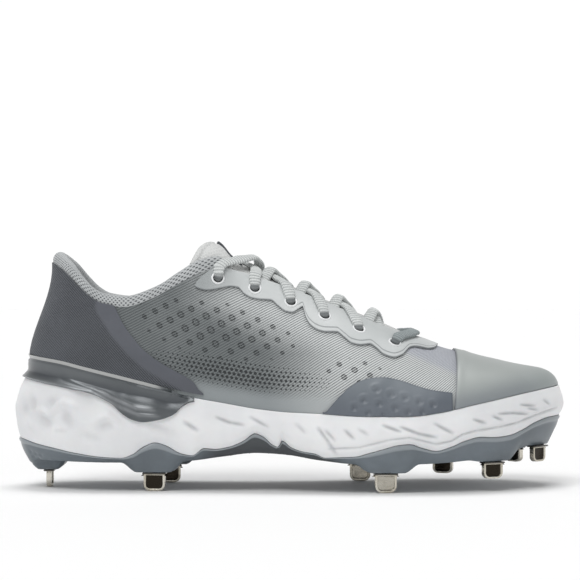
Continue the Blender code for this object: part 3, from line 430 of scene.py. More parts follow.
def flow_of(points):
    """A flow map: x along the shoe, and the distance up the wall from the sole's rim."""
    return np.stack([points[..., 0], travelled(points, 1)], -1)


def distance_to(points, start, end):
    """Distance in side view from points to a straight stretch, and how far along it they lie."""
    p = points[..., [0, 2]]
    a, b = np.asarray(start), np.asarray(end)
    t = np.clip(((p - a) @ (b - a)) / ((b - a) @ (b - a)), 0, 1)
    return np.linalg.norm(p - (a + t[..., None] * (b - a)), axis=-1), t


def creased(points, normals, creases):
    """Moves points along their normals by soft troughs and ridges. Lengths in the rows are millimetres."""
    moved = np.zeros(points.shape[:-1])
    for x0, z0, x1, z1, width, depth in creases:
        start = (x0 / 1000 - LENGTH / 2, z0 / 1000)
        end = (x1 / 1000 - LENGTH / 2, z1 / 1000)
        away, t = distance_to(points, start, end)
        taper = 0.35 + 0.65 * np.sin(np.pi * np.clip(t, 0.02, 0.98)) ** 0.6
        moved += depth / 1000 * taper * np.exp(-((away / (width / 1000)) ** 2))
    return points + normals * moved[..., None]


def worn(piece, look, slot, *nodes):
    """Gives a finished piece its material, its place on the shoe and the nodes it stands for."""
    piece.data.materials.clear()
    piece.data.materials.append(look)
    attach(piece, "root")
    if nodes:
        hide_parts(*nodes)
    return piece


# Materials


class Look:
    """A material under construction, with short calls for its nodes."""

    def __init__(self, name, **values):
        self.material = bpy.data.materials.new(name)
        self.material.use_nodes = True
        self.tree = self.material.node_tree
        self.shader = self.tree.nodes["Principled BSDF"]
        for key, value in values.items():
            self.shader.inputs[key.replace("_", " ")].default_value = value

    def node(self, kind, inputs=None, **settings):
        made = self.tree.nodes.new(kind)
        for key, value in settings.items():
            setattr(made, key, value)
        for key, value in (inputs or {}).items():
            self.feed(made.inputs[key], value)
        return made

    def feed(self, socket, value):
        if hasattr(value, "is_output"):
            self.tree.links.new(value, socket)
        else:
            socket.default_value = value

    def math(self, operation, a, b=0.0):
        return self.node("ShaderNodeMath", {0: a, 1: b}, operation=operation).outputs[0]

    def place(self):
        return self.node("ShaderNodeTexCoord").outputs["Object"]

    def flow(self):
        return self.node("ShaderNodeUVMap", uv_map="Flow").outputs[0]

    def mark(self, name):
        return self.node("ShaderNodeAttribute", attribute_name=name).outputs["Fac"]

    def axis(self, vector, which):
        return self.node("ShaderNodeSeparateXYZ", {0: vector}).outputs[which]

    def fade(self, value, low, high, to_low=0.0, to_high=1.0):
        made = self.node(
            "ShaderNodeMapRange",
            {"Value": value, "From Min": low, "From Max": high, "To Min": to_low, "To Max": to_high},
            interpolation_type="SMOOTHSTEP",
        )
        return made.outputs[0]

    def noise(self, scale, detail=3.0, vector=None, roughness=0.55):
        inputs = {"Vector": vector or self.place(), "Scale": scale, "Detail": detail, "Roughness": roughness}
        return self.node("ShaderNodeTexNoise", inputs).outputs["Fac"]

    def mix(self, share, a, b, blend="MIX"):
        made = self.node("ShaderNodeMix", data_type="RGBA", blend_type=blend)
        for name, value in (("Factor", share), ("A", a), ("B", b)):
            socket = [s for s in made.inputs if s.name == name and s.enabled][0]
            if not hasattr(value, "is_output") and name != "Factor" and len(value) == 3:
                value = (*value, 1.0)
            self.feed(socket, value)
        return [s for s in made.outputs if s.enabled][0]

    def group(self, tree, **values):
        made = self.node("ShaderNodeGroup")
        made.node_tree = tree
        for key, value in values.items():
            self.feed(made.inputs[key.replace("_", " ")], value)
        return made.outputs

    def bump(self, height, distance, strength):
        inputs = {"Height": height, "Distance": distance, "Strength": strength}
        return self.node("ShaderNodeBump", inputs).outputs[0]

    def done(self, colour, roughness=None, normal=None):
        for name, value in (("Base Color", colour), ("Roughness", roughness), ("Normal", normal)):
            if value is not None:
                self.feed(self.shader.inputs[name], value)
        return self.material


class Group(Look):
    """A shared effect, built once and placed in several materials."""

    def __init__(self, name, inputs, outputs):
        self.tree = bpy.data.node_groups.new(name, "ShaderNodeTree")
        for key, kind, value in inputs:
            socket = self.tree.interface.new_socket(name=key, in_out="INPUT", socket_type=kind)
            if value is not None:
                socket.default_value = value
        for key, kind in outputs:
            self.tree.interface.new_socket(name=key, in_out="OUTPUT", socket_type=kind)
        self.inputs = self.tree.nodes.new("NodeGroupInput").outputs
        self.outputs = self.tree.nodes.new("NodeGroupOutput").inputs


def grey(value):
    """A linear grey or colour from 0 to 255 values."""
    values = value if isinstance(value, tuple) else (value, value, value)
    shares = [v / 255 for v in values]
    return tuple(s / 12.92 if s <= 0.04045 else ((s + 0.055) / 1.055) ** 2.4 for s in shares)


VECTOR, FLOAT = "NodeSocketVector", "NodeSocketFloat"


def rib_group():
    """Parallel ribs across a direction: a smooth wave from 0 to 1."""
    g = Group("Ribs", [("Vector", VECTOR, None), ("Across", VECTOR, (1, 0, 0)), ("Pitch", FLOAT, 0.001)],
              [("Height", FLOAT)])
    dot = g.node("ShaderNodeVectorMath", {0: g.inputs[0], 1: g.inputs[1]}, operation="DOT_PRODUCT")
    turns = g.math("DIVIDE", dot.outputs["Value"], g.inputs[2])
    wave = g.math("SINE", g.math("MULTIPLY", turns, 2 * math.pi))
    g.feed(g.outputs[0], g.math("MULTIPLY_ADD", wave, 0.5))
    g.outputs[0].links[0].from_node.inputs[2].default_value = 0.5
    return g.tree


def lattice_group():
    """Distance to the nearest point of a slanted lattice, in metres."""
    g = Group(
        "Lattice",
        [("Vector", VECTOR, None), ("First", VECTOR, (1, 0, 0)), ("Second", VECTOR, (0, 1, 0)),
         ("Count First", VECTOR, (1, 0, 0)), ("Count Second", VECTOR, (0, 1, 0))],
        [("Distance", FLOAT)],
    )
    offsets = []
    for count, step in ((3, 1), (4, 2)):
        dot = g.node("ShaderNodeVectorMath", {0: g.inputs[0], 1: g.inputs[count]}, operation="DOT_PRODUCT")
        part = g.math("SUBTRACT", g.math("FRACT", g.math("ADD", dot.outputs["Value"], 0.5)), 0.5)
        scaled = g.node("ShaderNodeVectorMath", {0: g.inputs[step], "Scale": part}, operation="SCALE")
        offsets.append(scaled.outputs[0])
    total = g.node("ShaderNodeVectorMath", {0: offsets[0], 1: offsets[1]}, operation="ADD")
    length = g.node("ShaderNodeVectorMath", {0: total.outputs[0]}, operation="LENGTH")
    g.feed(g.outputs[0], length.outputs["Value"])
    return g.tree


def grain_group():
    """Fine grain and broad patchiness of a surface."""
    g = Group("Grain", [("Vector", VECTOR, None), ("Fine", FLOAT, 900.0), ("Broad", FLOAT, 25.0)],
              [("Grain", FLOAT), ("Patches", FLOAT)])
    g.feed(g.outputs[0], g.noise(g.inputs[1], 3.0, g.inputs[0]))
    g.feed(g.outputs[1], g.noise(g.inputs[2], 4.0, g.inputs[0]))
    return g.tree


def dust_group():
    """Pale dust that lies low on the shoe and in patches."""
    g = Group("Dust", [("Vector", VECTOR, None), ("Height", FLOAT, 0.03), ("Amount", FLOAT, 0.4)],
              [("Dust", FLOAT)])
    low = g.fade(g.axis(g.inputs[0], 2), 0.0, g.inputs[1], 1.0, 0.0)
    patches = g.fade(g.noise(55.0, 5.0, g.inputs[0], 0.65), 0.42, 0.72)
    g.feed(g.outputs[0], g.math("MULTIPLY", g.math("MULTIPLY", low, patches), g.inputs[2]))
    return g.tree


RIBS, LATTICE, GRAIN, DUST = rib_group(), lattice_group(), grain_group(), dust_group()


def lattice_inputs(first, second):
    """A lattice's two steps in metres, with the vectors that count along them."""
    a, b = np.array(first), np.array(second)
    count = np.linalg.inv(np.array([a, b]).T)
    return {
        "First": (*a, 0.0),
        "Second": (*b, 0.0),
        "Count_First": (*count[0], 0.0),
        "Count_Second": (*count[1], 0.0),
    }


def knit_look():
    """Diagonal engineered knit, dark at the quarter and pale in front, with a smooth band by the sole."""
    k = Look("Knit", Roughness=0.85, Sheen_Weight=0.1, Sheen_Roughness=0.5)
    flow, place = k.flow(), k.place()
    ribs = k.group(RIBS, Vector=flow, Across=(-0.6, 0.8, 0.0), Pitch=0.0012)["Height"]
    cross_ribs = k.group(RIBS, Vector=flow, Across=(0.8, 0.6, 0.0), Pitch=0.0011)["Height"]
    smooth_band = k.fade(k.mark("above"), 0.006, 0.015, 1.0, 0.0)
    gap = k.math("MULTIPLY", k.fade(ribs, 0.12, 0.45, 1.0, 0.0), k.math("SUBTRACT", 1.0, smooth_band))
    rings = k.group(LATTICE, Vector=flow, **lattice_inputs((0.0081, -0.0027), (-0.0056, -0.0044)))["Distance"]
    zone = k.mark("rings")
    off_ring = k.math("ABSOLUTE", k.math("SUBTRACT", rings, k.math("MULTIPLY", zone, 0.00155)))
    ring = k.math("MAXIMUM", k.fade(off_ring, 0.00035, 0.00075, 1.0, 0.0),
                  k.fade(rings, 0.00025, 0.00055, 1.0, 0.0))
    ring = k.math("MULTIPLY", ring, k.fade(zone, 0.15, 0.3))
    ring = k.math("MULTIPLY", ring, k.fade(ribs, 0.5, 0.9, 1.0, 0.25))
    dots = k.group(LATTICE, Vector=flow, **lattice_inputs((0.0025, 0.0), (0.00125, 0.00225)))["Distance"]
    dot_zone = k.mark("dots")
    dot_edge = k.math("MULTIPLY", dot_zone, 0.00095)
    dot = k.math("MULTIPLY", k.fade(k.math("SUBTRACT", dots, dot_edge), -0.0002, 0.0001, 1.0, 0.0),
                 k.fade(dot_zone, 0.16, 0.3))
    grain = k.group(GRAIN, Vector=place, Fine=1400.0, Broad=30.0)
    tone = k.math("ADD", k.mark("tone"), k.fade(grain["Patches"], 0.3, 0.7, -0.05, 0.05))
    shade = k.mix(tone, grey((106, 111, 112)), grey((200, 203, 203)))
    shade = k.mix(smooth_band, shade, k.mix(tone, grey((132, 138, 140)), grey((170, 174, 175))))
    gap_shade = k.mix(tone, (0.6, 0.6, 0.61), (0.38, 0.39, 0.4))
    shade = k.mix(gap, shade, k.mix(1.0, shade, gap_shade, "MULTIPLY"))
    mesh = k.math("MULTIPLY", k.mark("mesh"), k.fade(cross_ribs, 0.2, 0.8, 0.25, 0.75))
    shade = k.mix(mesh, shade, grey((158, 161, 176)))
    shade = k.mix(k.math("MULTIPLY", ring, 0.88), shade, grey((42, 46, 48)))
    shade = k.mix(k.math("MULTIPLY", dot, 0.93), shade, grey((36, 39, 41)))
    relief = k.math("SUBTRACT", k.math("MULTIPLY", gap, -1.0), k.math("MULTIPLY", ring, 1.1))
    relief = k.math("ADD", relief, k.math("MULTIPLY", cross_ribs, k.math("MULTIPLY", k.mark("mesh"), 0.6)))
    relief = k.math("ADD", relief, k.math("MULTIPLY", grain["Grain"], 0.25))
    return k.done(shade, k.fade(smooth_band, 0.0, 1.0, 0.88, 0.55), k.bump(relief, 0.00022, 0.9))


def counter_look(name="Counter"):
    """Dark twill with a smooth welded band along its front."""
    c = Look(name, Roughness=0.6, Sheen_Weight=0.06)
    place, flow = c.place(), c.flow()
    ribs = c.group(RIBS, Vector=flow, Across=(0.64, 0.77, 0.0), Pitch=0.0011)["Height"]
    fine = c.group(RIBS, Vector=flow, Across=(-0.8, 0.6, 0.0), Pitch=0.0016)["Height"]
    band = c.fade(c.mark("front"), 0.0058, 0.0085, 1.0, 0.0)
    grain = c.group(GRAIN, Vector=place, Fine=1500.0, Broad=24.0)
    cloth = c.mix(c.fade(ribs, 0.1, 0.8), grey((42, 45, 49)), grey((84, 87, 93)))
    cloth = c.mix(c.fade(fine, 0.3, 0.9, 0.0, 0.3), cloth, grey((60, 63, 68)))
    cloth = c.mix(c.fade(grain["Patches"], 0.35, 0.7, 0.0, 0.3), cloth, grey((92, 96, 102)))
    welded = c.mix(c.fade(grain["Patches"], 0.3, 0.7), grey((74, 77, 84)), grey((84, 87, 95)))
    shade = c.mix(band, cloth, welded)
    relief = c.math("MULTIPLY", ribs, c.math("SUBTRACT", 1.0, band))
    relief = c.math("ADD", relief, c.math("MULTIPLY", grain["Grain"], 0.3))
    return c.done(shade, c.fade(band, 0, 1, 0.78, 0.45), c.bump(relief, 0.0002, 0.9))


def film_look(name, low, high, bottom, top):
    """A moulded film that turns darker towards the sole."""
    f = Look(name, Coat_Weight=0.12, Coat_Roughness=0.35)
    place = f.place()
    grain = f.group(GRAIN, Vector=place, Fine=1100.0, Broad=28.0)
    rise = f.math("ADD", f.mark("above"), f.fade(grain["Patches"], 0.3, 0.7, -0.003, 0.003))
    shade = f.mix(f.fade(rise, bottom, top), grey(low), grey(high))
    shade = f.mix(f.fade(grain["Patches"], 0.4, 0.7, 0.0, 0.1), shade, grey((136, 140, 148)))
    rim = f.fade(f.mark("edge"), 0.0, 0.0012, 0.6, 0.0)
    shade = f.mix(rim, shade, f.mix(1.0, shade, (0.62, 0.63, 0.66), "MULTIPLY"))
    rough = f.fade(grain["Patches"], 0.3, 0.7, 0.37, 0.5)
    return f.done(shade, rough, f.bump(grain["Grain"], 0.00005, 0.5))


def trim_look():
    """Smooth light film of the eyestay, with a faint welded line along its edge."""
    t = Look("Trim", Coat_Weight=0.1, Coat_Roughness=0.4)
    place = t.place()
    grain = t.group(GRAIN, Vector=place, Fine=1300.0, Broad=35.0)
    shade = t.mix(t.fade(grain["Patches"], 0.3, 0.7), grey((184, 188, 188)), grey((196, 199, 199)))
    # Darker towards the rear: the eyestay's grey rear end, drawn forward towards the second eyelet as painted
    # shadow of the first lace.
    shade = t.mix(t.fade(t.axis(place, 0), -0.050, -0.018, 0.9, 0.0), shade, grey((140, 145, 146)))
    edge = t.mark("edge")
    line = t.math("MULTIPLY", t.fade(edge, 0.0022, 0.0027), t.fade(edge, 0.0029, 0.0035, 1.0, 0.0))
    line = t.math("MULTIPLY", line, t.mark("double"))
    shade = t.mix(t.math("MULTIPLY", line, 0.7), shade, grey((112, 117, 119)))
    shade = t.mix(t.fade(edge, 0.0, 0.0009, 0.7, 0.0), shade, grey((96, 100, 103)))
    relief = t.math("SUBTRACT", t.math("MULTIPLY", grain["Grain"], 0.2), t.math("MULTIPLY", line, 1.0))
    return t.done(shade, t.fade(grain["Grain"], 0.3, 0.7, 0.42, 0.56), t.bump(relief, 0.00022, 0.8))


def padding_look(name, pale, dark, scale=1.0):
    """Spacer mesh with small open cells."""
    p = Look(name, Roughness=0.9, Sheen_Weight=0.15, Sheen_Roughness=0.45)
    cells = p.group(LATTICE, Vector=p.flow(),
                    **lattice_inputs((0.0018 * scale, 0.0), (0.0009 * scale, 0.0013 * scale)))["Distance"]
    grain = p.group(GRAIN, Vector=p.place(), Fine=1600.0, Broad=40.0)
    open_zone = p.mark("open")
    hole = p.fade(cells, 0.0003 * scale, 0.00055 * scale, 1.0, 0.0)
    shade = p.mix(p.fade(grain["Patches"], 0.3, 0.7), grey(pale), grey(tuple(v - 12 for v in pale)))
    shade = p.mix(p.math("MULTIPLY", hole, open_zone), shade, grey(dark))
    ring = p.fade(cells, 0.0003 * scale, 0.0007 * scale)
    relief = p.math("ADD", p.math("MULTIPLY", ring, p.fade(open_zone, 0, 1, 0.35, 1.0)),
                    p.math("MULTIPLY", grain["Grain"], 0.5))
    return p.done(shade, p.fade(grain["Grain"], 0.3, 0.7, 0.82, 0.95), p.bump(relief, 0.0002, 0.8))


def lace_look(name, pale, shaded):
    """Woven lace with cross ribs."""
    w = Look(name, Roughness=0.85, Sheen_Weight=0.12, Sheen_Roughness=0.5)
    flow = w.flow()
    ribs = w.group(RIBS, Vector=flow, Across=(1, 0, 0), Pitch=LACE_RIB)["Height"]
    yarn = w.group(RIBS, Vector=flow, Across=(0.25, 1, 0), Pitch=0.0009)["Height"]
    grain = w.group(GRAIN, Vector=w.place(), Fine=1800.0, Broad=45.0)
    shade = w.mix(w.fade(ribs, 0.0, 0.6), grey(shaded), grey(pale))
    shade = w.mix(w.fade(yarn, 0.4, 1.0, 0.0, 0.25), shade, grey(tuple(v - 24 for v in pale)))
    shade = w.mix(w.fade(grain["Patches"], 0.35, 0.7, 0.0, 0.15), shade, grey(shaded))
    # Painted shade on the lace where it goes down into its eyelet, from the inside mark.
    shade = w.mix(w.math("MULTIPLY", w.mark("inside"), 0.85), shade, grey((88, 92, 94)))
    relief = w.math("ADD", ribs, w.math("MULTIPLY", yarn, 0.35))
    relief = w.math("ADD", relief, w.math("MULTIPLY", grain["Grain"], 0.3))
    return w.done(shade, w.fade(grain["Grain"], 0.3, 0.7, 0.8, 0.92), w.bump(relief, 0.0002, 0.8))


def foam_look():
    """White moulded foam, a little marked low down, with painted shade in its gouges and creases."""
    f = Look("Foam", Coat_Weight=0.06, Coat_Roughness=0.4, Subsurface_Weight=0.05, Subsurface_Scale=0.003)
    place = f.place()
    grain = f.group(GRAIN, Vector=place, Fine=700.0, Broad=30.0)
    dust = f.group(DUST, Vector=place, Height=0.034, Amount=0.35)["Dust"]
    shade = f.mix(f.fade(grain["Patches"], 0.3, 0.7), grey((212, 213, 215)), grey((224, 225, 226)))
    # Painted shade: darker where the creases push the foam in.
    shade = f.mix(f.math("MULTIPLY", f.mark("gouge_shade"), 0.5), shade, grey((132, 134, 138)))
    shade = f.mix(dust, shade, grey((172, 174, 176)))
    relief = f.math("ADD", f.math("MULTIPLY", grain["Grain"], 0.4), f.math("MULTIPLY", grain["Patches"], 1.5))
    return f.done(shade, f.fade(grain["Patches"], 0.3, 0.7, 0.42, 0.54), f.bump(relief, 0.00012, 0.6))


def plate_look():
    """Grey moulded plastic with a satin face and a paler lip, dark through the arch and dusty low down."""
    p = Look("Moulding", Coat_Weight=0.2, Coat_Roughness=0.3)
    place = p.place()
    grain = p.group(GRAIN, Vector=place, Fine=800.0, Broad=32.0)
    dust = p.group(DUST, Vector=place, Height=0.02, Amount=0.4)["Dust"]
    along = p.axis(place, 0)
    arch = p.math("MULTIPLY", p.fade(along, -0.056, -0.036), p.fade(along, 0.016, 0.032, 1.0, 0.0))
    shade = p.mix(p.fade(grain["Patches"], 0.3, 0.7), grey((84, 92, 98)), grey((100, 109, 116)))
    shade = p.mix(p.math("MULTIPLY", arch, 0.85), shade, grey((44, 47, 50)))
    shade = p.mix(p.math("MULTIPLY", p.mark("lip"), 0.75), shade, grey((140, 146, 150)))
    shade = p.mix(dust, shade, grey((122, 127, 130)))
    return p.done(shade, p.fade(grain["Patches"], 0.3, 0.7, 0.32, 0.45), p.bump(grain["Grain"], 0.00008, 0.5))


def wing_look():
    """Pearly grey moulded wing, with painted shade in the troughs along its top, painted highlights on its
    ridges and a painted highlight along its top edge.
    """
    w = Look("Wing", Metallic=0.35, Coat_Weight=0.4, Coat_Roughness=0.22)
    place = w.place()
    grain = w.group(GRAIN, Vector=place, Fine=900.0, Broad=14.0)
    shade = w.mix(w.fade(grain["Patches"], 0.3, 0.7), grey((70, 75, 78)), grey((92, 96, 99)))
    # Painted highlight on the ridges and painted shade in the troughs.
    shade = w.mix(w.math("MULTIPLY", w.mark("ridge"), 0.55), shade, grey((156, 159, 162)))
    shade = w.mix(w.math("MULTIPLY", w.mark("trough_shade"), 0.6), shade, grey((56, 60, 66)))
    # Painted highlight along the top edge.
    shade = w.mix(w.fade(w.mark("edge"), 0.0002, 0.0007, 0.8, 0.0), shade, grey((176, 177, 176)))
    return w.done(shade, w.fade(grain["Patches"], 0.3, 0.7, 0.28, 0.36), w.bump(grain["Grain"], 0.00003, 0.3))


def steel_look():
    """Pressed steel with a dark recess."""
    s = Look("Steel", Metallic=1.0)
    place = s.place()
    grain = s.group(GRAIN, Vector=place, Fine=1500.0, Broad=90.0)
    drawn = s.node("ShaderNodeMapping", {"Vector": place, "Scale": (1, 1, 9)}).outputs[0]
    scratches = s.noise(400.0, 4.0, drawn)
    shade = s.mix(s.fade(grain["Patches"], 0.3, 0.7), grey((176, 170, 156)), grey((206, 202, 192)))
    shade = s.mix(s.mark("recess"), shade, grey((44, 40, 34)))
    shade = s.mix(s.mark("base"), shade, grey((92, 90, 86)))
    rough = s.fade(scratches, 0.35, 0.7, 0.2, 0.36)
    return s.done(shade, rough, s.bump(scratches, 0.00003, 0.4))


def insole_look():
    p = Look("Sock_liner", Roughness=0.95, Sheen_Weight=0.3)
    grain = p.group(GRAIN, Vector=p.place(), Fine=1200.0, Broad=40.0)
    ribs = p.group(RIBS, Vector=p.place(), Across=(0.7, 0.7, 0), Pitch=0.0012)["Height"]
    shade = p.mix(p.fade(ribs, 0.1, 0.9), grey((70, 73, 76)), grey((96, 99, 102)))
    shade = p.mix(p.fade(grain["Patches"], 0.35, 0.7, 0, 0.3), shade, grey((120, 122, 124)))
    return p.done(shade, p.fade(grain["Grain"], 0.3, 0.7, 0.88, 0.98), p.bump(ribs, 0.0002, 0.6))


# The upper and what lies on it


def heights_above_rim(points, lines):
    bite = SOLE_HEIGHT * SOLE.at(place_of(lines), "bite")
    return points[..., 2] - bite


def bump_zone(x, s, centre, reach, lift):
    """1 in the middle of an oval zone and 0 outside it. Lengths are millimetres along and up the wall."""
    dx = (x * 1000 + 150 - centre[0]) / reach[0]
    ds = (s * 1000 - centre[1]) / reach[1]
    return np.clip(1.0 - (dx**2 + ds**2) ** lift, 0, 1)


UPPER_CREASES = [
    # x and z of both ends, width and depth: soft folds where the forefoot bends, and pulls below the eyelets
    (205, 62, 214, 74, 3.5, -0.45),
    (213, 55, 224, 70, 4.0, -0.40),
    (196, 56, 204, 66, 4.0, 0.35),
    (222, 66, 230, 74, 4.0, 0.30),
    (128, 96, 120, 84, 5.0, -0.35),
    (146, 88, 138, 76, 5.0, -0.35),
    (163, 82, 158, 70, 5.0, -0.30),
    (181, 75, 178, 64, 5.0, -0.30),
    (112, 100, 100, 82, 7.0, 0.40),
    (90, 66, 130, 56, 9.0, -0.45),
    (140, 54, 175, 50, 7.0, 0.35),
    (58, 90, 80, 70, 8.0, -0.40),
]


def upper_shell():
    lines = np.arange(0, LINES, 0.25)[:, None]
    shares = np.concatenate([[-1.0, -0.7, -0.45, -0.2], np.linspace(0, 1, 45)])[None, :]
    points = wall(lines, shares)
    normals = wall_normal(lines, np.clip(shares, 0, 0.985))
    points = creased(points, normals, UPPER_CREASES)
    rise = flow_of(points[:, 4:])[..., 1]
    rise = np.concatenate([np.zeros((len(lines), 4)), rise], 1)
    x = points[..., 0]
    flow = np.stack([x, rise], -1)
    above = np.maximum(rise, 0) + 0 * x
    place_mm = x * 1000 + 150
    z_mm = points[..., 2] * 1000
    dots = bump_zone(x, rise, (122, 18.5), (58, 9.5), 1.1)
    rings = np.maximum(bump_zone(x, rise, (110, 40), (48, 17), 1.6),
                       0.8 * bump_zone(x, rise, (183, 25), (18, 9), 1.4))
    pale_from = 109 + np.clip((100 - z_mm) * 1.9, 0, 50)
    tone = np.clip((place_mm - pale_from + 27) / 54, 0, 1)
    tone = tone * tone * (3 - 2 * tone)
    mesh_zone = np.clip((place_mm - 207) / 4, 0, 1) * np.clip((z_mm - 74 + (place_mm - 207) * 0.42) / 3, 0, 1)
    marks = {"above": above, "dots": dots, "rings": rings, "tone": tone, "mesh": mesh_zone}
    piece = grid_piece("upper_knit", points, flow, marks, wrap=True)
    merged(piece)
    turned_out(piece)
    solidify(piece, UPPER_WALL, -1)
    cut_eyelets(piece, EYELET_BORE + 0.0004)
    smooth(piece, 40)
    return piece


EYELETS = [(0.369, 0.949), (0.435, 0.903), (0.499, 0.841), (0.559, 0.778), (0.620, 0.719), (0.684, 0.656)]


def eyelet_rows():
    return [(side, row) for side in (-1, 1) for row in EYELETS]


def eyelet_seat(side, row):
    line = line_at(row[0], side)
    share = share_at(line, INSTEP_HEIGHT * row[1])
    return wall(line, share), wall_normal(line, share)


def cut_eyelets(piece, radius, depth=0.012):
    """Cuts the twelve lace holes through a piece."""
    cutters = []
    for side, row in eyelet_rows():
        centre, axis = eyelet_seat(side, row)
        bpy.ops.object.select_all(action="DESELECT")
        bpy.ops.mesh.primitive_cylinder_add(vertices=28, radius=radius, depth=depth, location=centre)
        cutter = bpy.context.object
        cutter.rotation_mode = "QUATERNION"
        cutter.rotation_quaternion = Vector((0, 0, 1)).rotation_difference(Vector(axis))
        cutters.append(cutter)
    only(cutters[0])
    for cutter in cutters:
        cutter.select_set(True)
    bpy.ops.object.join()
    cutter = bpy.context.object
    hole = piece.modifiers.new("Lace holes", "BOOLEAN")
    hole.object = cutter
    hole.solver = "EXACT"
    apply_all(piece)
    bpy.data.objects.remove(cutter, do_unlink=True)


def edge_mark(points, ends=(True, True, True, True)):
    """Distance of each grid point to the sheet's edges: first and last line, first and last row."""
    rise, ahead = travelled(points, 1), travelled(points, 0)
    fall = rise[:, -1:] - rise
    back = ahead[-1:] - ahead
    away = np.full(points.shape[:2], 1.0)
    for used, distance in zip(ends, (ahead, back, rise, fall)):
        if used:
            away = np.minimum(away, distance)
    return away


def overlay(name, lines, foot, head, look, slot, nodes, ends, low=0.0004, thickness=FILM_THICKNESS,
            rows=28, dimples=None, front=None):
    """A film on the upper between two edges given as shares of the wall line."""
    lines = np.asarray(lines, float)[:, None]
    t = np.linspace(0, 1, rows)[None, :]
    shares = foot + (head - foot) * t
    points = wall(lines, shares)
    normals = wall_normal(lines, shares)
    points = creased(points, normals, UPPER_CREASES)
    points = points + normals * (low + thickness)
    if dimples is not None:
        points = points + normals * dimples(points)[..., None]
    rise = np.maximum(heights_above_rim(points, lines), 0)
    flow = np.stack([points[..., 0], rise], -1)
    marks = {"above": rise, "edge": edge_mark(points, ends)}
    if front is not None:
        marks["front"] = front(points)
    piece = grid_piece(name, points, flow, marks)
    merged(piece)
    turned_out(piece)
    solidify(piece, thickness, -1)
    bevel(piece, 0.00035, 2, 60)
    apply_all(piece)
    smooth(piece, 35)
    return worn(piece, look, slot, *nodes)


def rim_share(line, extra):
    place = place_of(line)
    return share_at(line, SOLE_HEIGHT * SOLE.at(place, "bite") + BITE_RIM + extra)


COUNTER_EDGE = Table(
    "x z",
    [(53, 98.6), (56, 94), (60, 88), (64.5, 82.6), (70.5, 76), (79, 69.6), (88, 64.4), (96, 60),
     (99.5, 57.2), (101.5, 53.6), (103, 50)],
)


def counter_front(points):
    """Distance in side view from the counter's front boundary."""
    x = np.linspace(53, 103, 120)
    z = COUNTER_EDGE.at(x, "z")
    away = np.full(points.shape[:-1], 1.0)
    for place, height in zip(x / 1000 - LENGTH / 2, z / 1000):
        away = np.minimum(away, np.hypot(points[..., 0] - place, points[..., 2] - height))
    return away


def heel_counter():
    lines = np.arange(21.6, LINES - 21.6 + 0.01, 0.2)
    place = place_of(lines)
    foot = rim_share(lines, 0.0006 + np.where(place < place_of(21), CLIP_THICKNESS + GAP, 0))
    x_mm = LENGTH * 1000 * place
    head = share_at(lines, COUNTER_EDGE.at(x_mm, "z") / 1000)
    head = np.where(x_mm < 53, 0.985, np.clip(head, foot + 0.01, 0.985))
    return overlay("heel_counter_twill", lines, foot[:, None], head[:, None], counter_look(), "counter",
                   ["heel_counter"], (True, True, False, True), low=0.0003,
                   thickness=COUNTER_THICKNESS, rows=36, front=counter_front)


TOE_BAND = [(239.4, 44, 238.4, 56, 1.5, 0.55), (238.4, 56, 240, 66, 1.5, 0.55), (240, 66, 246, 74, 1.6, 0.45)]


def toe_cap():
    count = 111
    lines = np.linspace(-11, 11, count)
    shares = np.linspace(0, 1, 30)[None, :]
    foot = rim_share(np.mod(lines, LINES), 0.0006)[:, None]
    shares = foot + (1 - foot) * shares
    lean = 0.55 * shares * (np.abs(lines[:, None]) / 11) ** 6
    leaned = np.sign(lines)[:, None] * (np.abs(lines[:, None]) - lean)
    points = wall(np.mod(leaned, LINES), shares)
    normals = wall_normal(np.mod(leaned, LINES), np.minimum(shares, 0.985))
    points = creased(points + normals * 0.0012, normals, TOE_BAND)
    rise = np.maximum(heights_above_rim(points, np.mod(leaned, LINES)), 0)
    flow = np.stack([points[..., 0], rise], -1)
    marks = {"above": rise, "edge": edge_mark(points, (True, True, False, False))}
    piece = grid_piece("toe_cap_film", points, flow, marks)
    merged(piece, 1e-5)
    turned_out(piece)
    solidify(piece, TOE_FILM_THICKNESS, -1)
    bevel(piece, 0.0003, 2, 60)
    apply_all(piece)
    smooth(piece, 40)
    return worn(piece, toe_look(), "toe_film", "toe_cap")


def toe_look():
    """Grey-green film, paler along the top and darker at its rear edge."""
    f = Look("Toe_film", Coat_Weight=0.12, Coat_Roughness=0.35)
    place = f.place()
    grain = f.group(GRAIN, Vector=place, Fine=1100.0, Broad=26.0)
    shade = f.mix(f.fade(f.mark("above"), 0.0, 0.017), grey((120, 126, 130)), grey((160, 165, 163)))
    shade = f.mix(f.fade(f.axis(place, 0), 0.118, 0.14, 0.0, 0.45), shade, grey((146, 154, 151)))
    shade = f.mix(f.fade(grain["Patches"], 0.4, 0.7, 0.0, 0.12), shade, grey((186, 189, 191)))
    shade = f.mix(f.fade(f.mark("edge"), 0.0, 0.0013, 0.8, 0.0), shade, grey((84, 88, 94)))
    return f.done(shade, f.fade(grain["Patches"], 0.3, 0.7, 0.4, 0.52), f.bump(grain["Grain"], 0.00004, 0.8))


SIDE_FILM_EDGE = Table(
    "x z",
    [(166.5, 41), (170, 45), (176, 51.6), (181, 56), (186, 58.8), (192, 60.4), (198, 60.6), (205, 59.6),
     (214, 57), (224, 54), (234, 52.6)],
)
DIMPLES = [
    (195, 54.9), (202.6, 52.3), (209.7, 50.6), (217.3, 48.6), (224.6, 47),
    (188.4, 49.4), (196.4, 47.5), (204.7, 45.4), (211.5, 43.4),
    (183.3, 45.4), (190.6, 42.8), (198.4, 41.2), (206, 39.6), (219, 43.2),
]


def dimple(points):
    moved = np.zeros(points.shape[:-1])
    for x, z in DIMPLES:
        away = np.hypot(points[..., 0] * 1000 + 150 - x, points[..., 2] * 1000 - z)
        moved -= 0.001 * np.exp(-((away / 1.35) ** 2)) - 0.0003 * np.exp(-(((away - 2.6) / 0.9) ** 2))
    return moved


